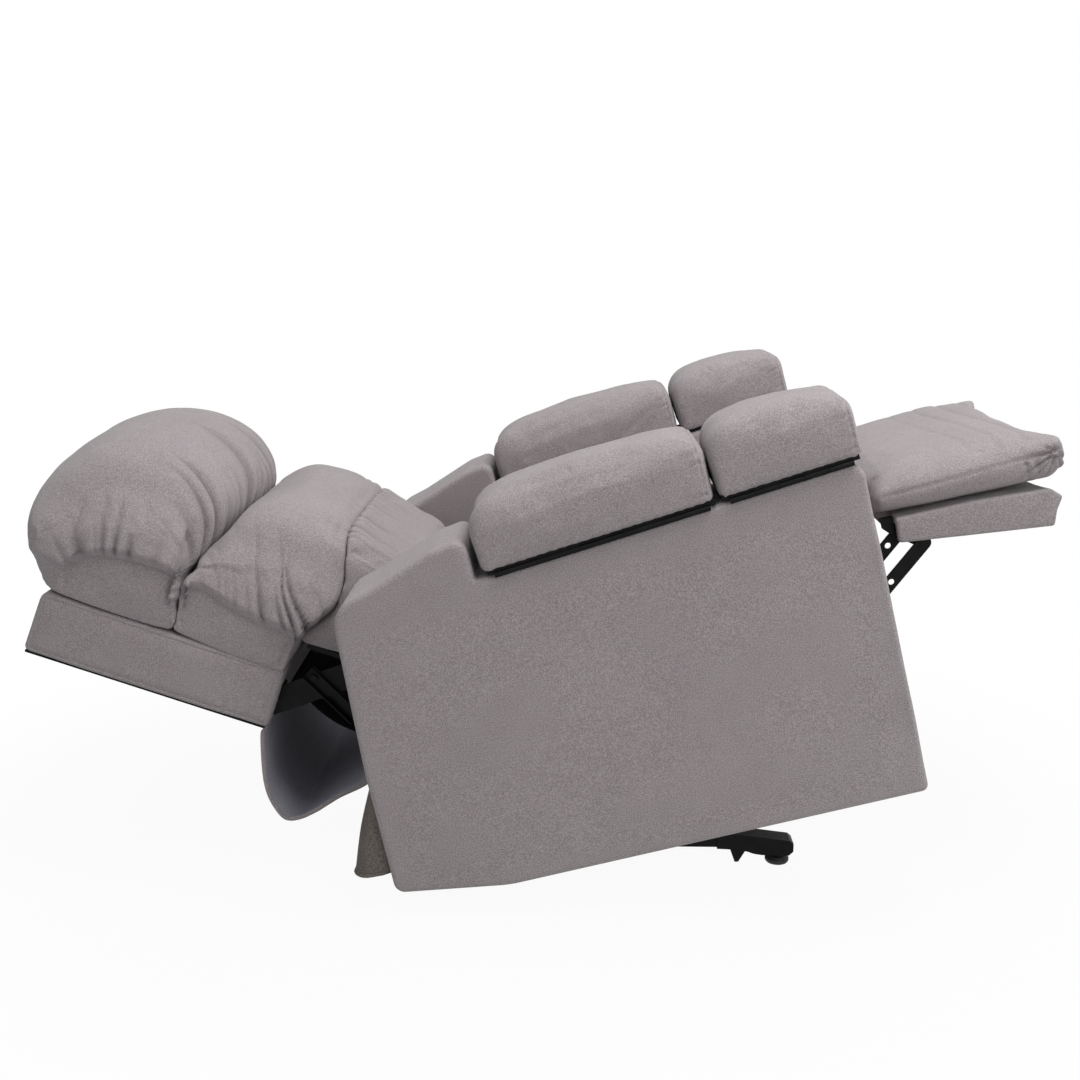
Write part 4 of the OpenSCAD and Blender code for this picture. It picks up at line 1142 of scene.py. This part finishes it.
def foot_line(y):
    out = abs(y) / PAD_WIDE
    flare = 0.023 * float(smoothstep(np.array(out), 0.55, 1.0)) ** 1.5
    roll = 0.016 * max(0, out - 0.75) / 0.25
    end = PAD_X1 - 0.019 + flare
    return even(rounded([
        (PAD_X0 + 0.004, PAD_LOW + roll, 0.014), (end - 0.026, PAD_LOW + roll * 0.5, 0.014),
        (end, 0.433, 0.010), (end, PAD_TOP - 0.004 - roll * 0.2, 0.007),
        (end - 0.085, PAD_TOP + 0.006 - roll * 0.6, 0.12), (PAD_X0 + 0.06, PAD_TOP - roll, 0.12),
        (PAD_X0, PAD_TOP - 0.012 - roll, 0.024)], 8), 140)


rings = []
middle = np.array([0.73, 0.450])
for s in both_ways(0, 0.25, 0.5, 0.65, 0.75, 0.85, 0.92, 0.96, 0.98, 0.994, 1):
    line = foot_line(s * PAD_WIDE)
    thin = 1 - 0.34 * (max(0, abs(s) - 0.93) / 0.07) ** 2.2
    rings.append((s * PAD_WIDE, middle + (line - middle) * [1 - 0.12 * (1 - thin), thin]))
foot = piece("footrest_pad_cover", loft(chassis, rings, dome=0.002), cover, 180)
net(foot, 0.0055)
puff(foot, chassis, lambda p: np.maximum(
    1 - smoothstep(p[:, 2], PAD_LOW, PAD_LOW + 0.012),
    smoothstep(p[:, 0], 0.850, 0.870) * smoothstep(np.abs(p[:, 1]), 0.20, 0.24)),
    0.004, 2.5, frames=12)
finer(foot)
PINCH_X, PINCH_Z = 0.872, 0.458         # the corner where the cover is pinched
waist = np.concatenate([[(x, s * (PAD_WIDE + 0.001), 0.449 + 0.04 * (x - 0.58))
                         for x in np.linspace(0.583, PINCH_X, 120)] for s in (-1, 1)])


def foot_folds(p):
    far, where = near_line(p, waist)
    reach = np.linalg.norm((p - [PINCH_X, 0, PINCH_Z]) * [1, 0, 1], axis=1) \
        + 0.6 * np.abs(np.abs(p[:, 1]) - PAD_WIDE)
    turn = np.arctan2(p[:, 2] - PINCH_Z, PINCH_X - p[:, 0] + 1e-6)
    corner = gathers(reach, turn * 0.045 + 0.25 * (np.abs(p[:, 1]) - 0.2), 0.020, 0.0070, 0.12,
                     51, 0.22, 0.9)
    side = smoothstep(np.abs(p[:, 1]), 0.215, 0.25)
    below = gathers(far, where, 0.026, 0.0065, 0.045, 52, 0.22) * (p[:, 2] < 0.452) \
        * smoothstep(p[:, 0], 0.74, 0.82)
    end = smoothstep(p[:, 0], 0.80, 0.85)
    across = -0.0016 * np.clip(np.sin(p[:, 0] * 140 + 2.2 * np.sin(p[:, 1] * 8)), 0, 1) ** 3 \
        * smoothstep(p[:, 2], 0.478, 0.484) * smoothstep(p[:, 0], 0.66, 0.8)
    return (groove(far, 0.0020, 0.0030) + below * side + corner * side * (0.3 + 0.7 * end)
            * smoothstep(-p[:, 2], -0.476, -0.462) + across)


press(foot, chassis, lambda p: slack(p, 0.10, 0.004, 8) + slack(p, 0.04, 0.0010, 3), foot_folds)
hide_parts("foot_pad")
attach(foot, "ottoman")
print_faces(foot)

# %% Footrest board, padded on all sides but where the links are bolted
BOARD_X0, BOARD_TOP, BOARD_HALF = 0.608, 0.411, 0.255
POCKET = 0.222, 0.247       # across, where the links reach in
board_line = rounded([
    (BOARD_X0 - 0.002, BOARD_TOP - 0.040, 0.007), (BOARD_X0 + 0.242, BOARD_TOP - 0.071, 0.006),
    (BOARD_X0 + 0.250, BOARD_TOP - 0.046, 0.020), (BOARD_X0 + 0.262, BOARD_TOP - 0.026, 0.006),
    (BOARD_X0 + 0.246, BOARD_TOP - 0.010, 0.006),
    (BOARD_X0 + 0.12, BOARD_TOP - 0.001, 0.2), (BOARD_X0, BOARD_TOP, 0.005)], 6)


def hollow_end(p):
    out = np.clip(np.abs(p[:, 1]) / BOARD_HALF, 0, 1)
    return smoothstep(p[:, 0], BOARD_X0 + 0.14, BOARD_X0 + 0.262) * 0.020 * (1 - out ** 3)


bm = slab(chassis, board_line, -BOARD_HALF, BOARD_HALF, 0.005, 4)
slice_up(bm, chassis, 0.010, "XY")
board = piece("footrest_board_cover", bm, cover, 50)
cut_away(board, *[box_cutter(chassis, (BOARD_X0 - 0.003, a, BOARD_TOP - 0.080),
                             (BOARD_X0 + 0.069, b, BOARD_TOP - 0.010))
                  for a, b in (POCKET, (-POCKET[1], -POCKET[0]))])
now = points_of(board, chassis)
now[:, 0] -= hollow_end(now)
set_points(board, now, chassis)
press(board, chassis, lambda p: slack(p, 0.08, 0.0012, 6)
      * smoothstep(p[:, 0], BOARD_X0 + 0.07, BOARD_X0 + 0.09))
board.data.set_sharp_from_angle(angle=math.radians(50))
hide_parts("footrest_board")
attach(board, "ottoman")
print_faces(board)

# %% [markdown]
# ## Rear flap, inner shade cloth and skirt
# The outside of the back is a loose flap of cloth with a lining. It hangs as a sling from the
# back's end to the seat frame. A black cloth inside hangs the same way: it keeps light out of the
# hollow, and its own black is painted shade there. Below the arms, a short skirt hides the frame
# from behind, and its outside is the cover's taupe made darker, as painted shade. Flap and skirt
# have a rolled hem.


# %% A sheet, and a hem along an edge
def sheet_piece(name, place, at, along, across, thick, materials):
    """A grid whose points are at(u, v), u along from 0 to 1 and v across from -1 to 1."""
    bm = bmesh.new()
    bmesh.ops.create_grid(bm, x_segments=along, y_segments=across, size=1)
    for v in bm.verts:
        v.co = place @ Vector(at((v.co.x + 1) / 2, v.co.y))
    made = piece(name, bm, materials[0], 180)
    for material in materials[1:]:
        made.data.materials.append(material)
    body = made.modifiers.new("body", "SOLIDIFY")
    body.thickness, body.offset, body.use_even_offset = thick, 0, True
    body.material_offset, body.material_offset_rim = 1, 0
    take_modifiers(made)
    return made


def hem(name, line, thick, wide, material, up):
    """A rolled edge: an oval ring swept along a line of points in the shared frame."""
    line = [Vector(p) for p in line]
    rows = []
    for i, p in enumerate(line):
        ahead = (line[min(i + 1, len(line) - 1)] - line[max(i - 1, 0)]).normalized()
        side = ahead.cross(Vector(up)).normalized()
        end = min(1, 0.35 + 0.65 * min(i, len(line) - 1 - i) / 2)
        over = side.cross(ahead)
        rows.append([p + side * math.cos(a) * wide * end + over * math.sin(a) * thick * end
                     for a in (2 * math.pi * k / 12 for k in range(12))])
    bm = bmesh.new()
    skin(bm, rows)
    return piece(name, bm, material, 180)


# %% Flap
FLAP_HALF, FLAP_ROWS = 0.266, 90
flap_line = curve_through([(-0.4955, 0.247), (-0.502, 0.232), (-0.500, 0.154), (-0.4855, 0.1105),
                           (-0.4595, 0.0825), (-0.431, 0.088), (-0.388, 0.117), (-0.338, 0.149),
                           (-0.318, 0.168)], 8)
flap_line = even(flap_line, FLAP_ROWS, closed=False)
slope = np.gradient(flap_line, axis=0)
slope /= np.linalg.norm(slope, axis=1, keepdims=True)


def on_flap(u, v):
    k = min(u * (FLAP_ROWS - 1), FLAP_ROWS - 1.001)
    i = int(k)
    x, z = flap_line[i] * (1 - k + i) + flap_line[i + 1] * (k - i)
    dx, dz = slope[i]
    belly = math.sin(math.pi * min(1, max(0, (u - 0.30) / 0.66))) ** 1.5
    curl = 0.019 * belly * max(0, (abs(v) - 0.74) / 0.26) ** 1.6 * min(1, max(0, u - 0.42) * 4)
    sag = 0.010 * belly * (1 - abs(v) ** 2.5) - curl
    wave = 0.002 * math.sin(9 * v + 5 * u) * belly
    return (x + dz * (sag + wave) * -1, v * FLAP_HALF, z - abs(dx) * (sag + wave))


flap = sheet_piece("rear_flap_cloth", base, on_flap, FLAP_ROWS - 1, 60, 0.004, (lining, cover))
hems = []
for side, s in (("left", 1), ("right", -1)):
    edge = [base @ Vector(on_flap(u, s)) for u in np.linspace(0.0, 1.0, 80)]
    hems.append(hem("flap_hem_" + side, edge, 0.0040, 0.0036, cover, (0, 1, 0)))
for cloth_piece in (flap, *hems):
    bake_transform(cloth_piece)
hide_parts("rear_flap")

# %% Inner shade cloth: a black sheet of painted shade, from the seat frame's rear rail to the back's foot
INNER_HALF, INNER_ROWS = 0.236, 40
inner_line = even(curve_through([(-0.268, 0.239), (-0.318, 0.264), (-0.365, 0.308),
                                 (-0.404, 0.372)], 8), INNER_ROWS, False)


def on_inner(u, v):
    x, z = inner_line[int(round(u * (INNER_ROWS - 1)))]
    return x, v * INNER_HALF, z - 0.003 * math.sin(v * 7 + u * 5) * math.sin(math.pi * u)


# Painted shade: this black sheet stands for the dark hollow between back and seat, and it also
# keeps light out of it.
inner = sheet_piece("inner_shade_cloth", chassis, on_inner, INNER_ROWS - 1, 48, 0.002,
                    (dust_and_shade_cloth, dust_and_shade_cloth))
chassis @ Vector((-0.278, 0, 0.243))
chassis @ Vector((-0.400, 0, 0.366))
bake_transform(inner)

# %% [markdown]
# ## Back channels
# On each side a pressed steel channel is bolted to the foot of the back frame. It is a flat bar
# with two turned-up lips, and the bolt has a washer under its head.

# %% Channel, washer and bolt
CHANNEL_FROM, CHANNEL_TO = Vector((-0.368, 0, 0.385)), Vector((-0.312, 0, 0.290))
CHANNEL_WIDE, FLAT_IN, FLAT_OUT = 0.025, 0.240, 0.2425
LIP_IN, LIP_OUT, LIP_THICK = 0.241, 0.2535, 0.0022
WASHER, HEAD = (0.0095, 0.2425, 0.2445, 32), (0.0065, 0.2445, 0.2495, 6)
BOLT_INSET, SUNK = 0.014, 0.0003        # from the channel's end, and into what is below
ahead = (CHANNEL_TO - CHANNEL_FROM).normalized()
aside = Vector((-ahead.z, 0, ahead.x))


def strip(near_side, far_side, r):
    ends = ((CHANNEL_FROM, near_side), (CHANNEL_TO, near_side), (CHANNEL_TO, far_side),
            (CHANNEL_FROM, far_side))
    return rounded([((p + aside * w).x, (p + aside * w).z, r) for p, w in ends], 5)


half = CHANNEL_WIDE / 2
at = CHANNEL_FROM + ahead * BOLT_INSET
for side, name in SIDES:
    hand = on_side(chassis, side)
    parts = [slab(hand, strip(-half, half, 0.008), FLAT_IN, FLAT_OUT, 0.0008, 2)]
    for a, b in ((-half, LIP_THICK - half), (half - LIP_THICK, half)):
        parts.append(slab(hand, strip(a, b, 0.0008), LIP_IN, LIP_OUT, 0.0006, 2))
    for radius, y0, y1, count in (WASHER, HEAD):
        parts.append(slab(hand, [(at.x + radius * math.cos(a), at.z + radius * math.sin(a))
                                 for a in (2 * math.pi * k / count for k in range(count))],
                          y0 - SUNK, y1, 0.0005, 1))
    bm = bmesh.new()
    for part in parts:
        mesh = bpy.data.meshes.new("part")
        part.to_mesh(mesh)
        part.free()
        bm.from_mesh(mesh)
        bpy.data.meshes.remove(mesh)
    channel = piece("back_channel_" + name, bm, black_steel, 35)
    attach(channel, "backrest")
    print_faces(channel)

# %% Skirt
SKIRT_HALF, CORNER, WRAP, SKIRT_ROWS = 0.415, 0.030, 0.066, 24
skirt_line = even(curve_through([(-0.307, 0.200), (-0.324, 0.130), (-0.335, 0.054)], 8),
                  SKIRT_ROWS, False)
skirt_width = 2 * (SKIRT_HALF - CORNER + WRAP)


def on_skirt(u, v):
    x, z = skirt_line[int(round(u * (SKIRT_ROWS - 1)))]
    far = abs(v) * skirt_width / 2
    reach = -(x + 0.273)
    if far <= SKIRT_HALF - CORNER:
        y, back = far, 0.0
    else:
        turn = (far - SKIRT_HALF + CORNER) / WRAP
        bent = math.sin(min(1, turn * 1.7) * math.pi / 2)
        y = SKIRT_HALF - CORNER * (1 - bent) - 0.002 * turn
        back = reach * turn ** 1.5
    ripple = 0.004 * u * math.sin(far * 38) * smoothstep(np.array(SKIRT_HALF - far), 0.0, 0.1)
    lifted = 0.012 * u * (back / max(reach, 1e-6))
    return (x + back + float(ripple), math.copysign(y, v), z + lifted)


# Painted shade: the outside of the skirt has the darker copy of the cover cloth.
skirt = sheet_piece("rear_skirt_cloth", base, on_skirt, SKIRT_ROWS - 1, 130, 0.0035,
                    (lining, shaded_skirt_cloth))
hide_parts("rear_skirt")
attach(skirt, "chassis")
skirt_hem = hem("skirt_hem", [base @ Vector(on_skirt(1.0, v)) for v in np.linspace(-1, 1, 160)],
                0.0032, 0.0040, shaded_skirt_cloth, (0, 0, 1))
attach(skirt_hem, "chassis")

# %% [markdown]
# ## Close the book
# The sizes before and after upholstering are kept, and the size with covers is printed.

# %% Sizes, then finish
boxes = [[list(map(float, corner)) for corner in b] for b in (cad_box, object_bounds())]
print("size with covers:", [round(b - a, 4) for a, b in zip(*boxes[1])])
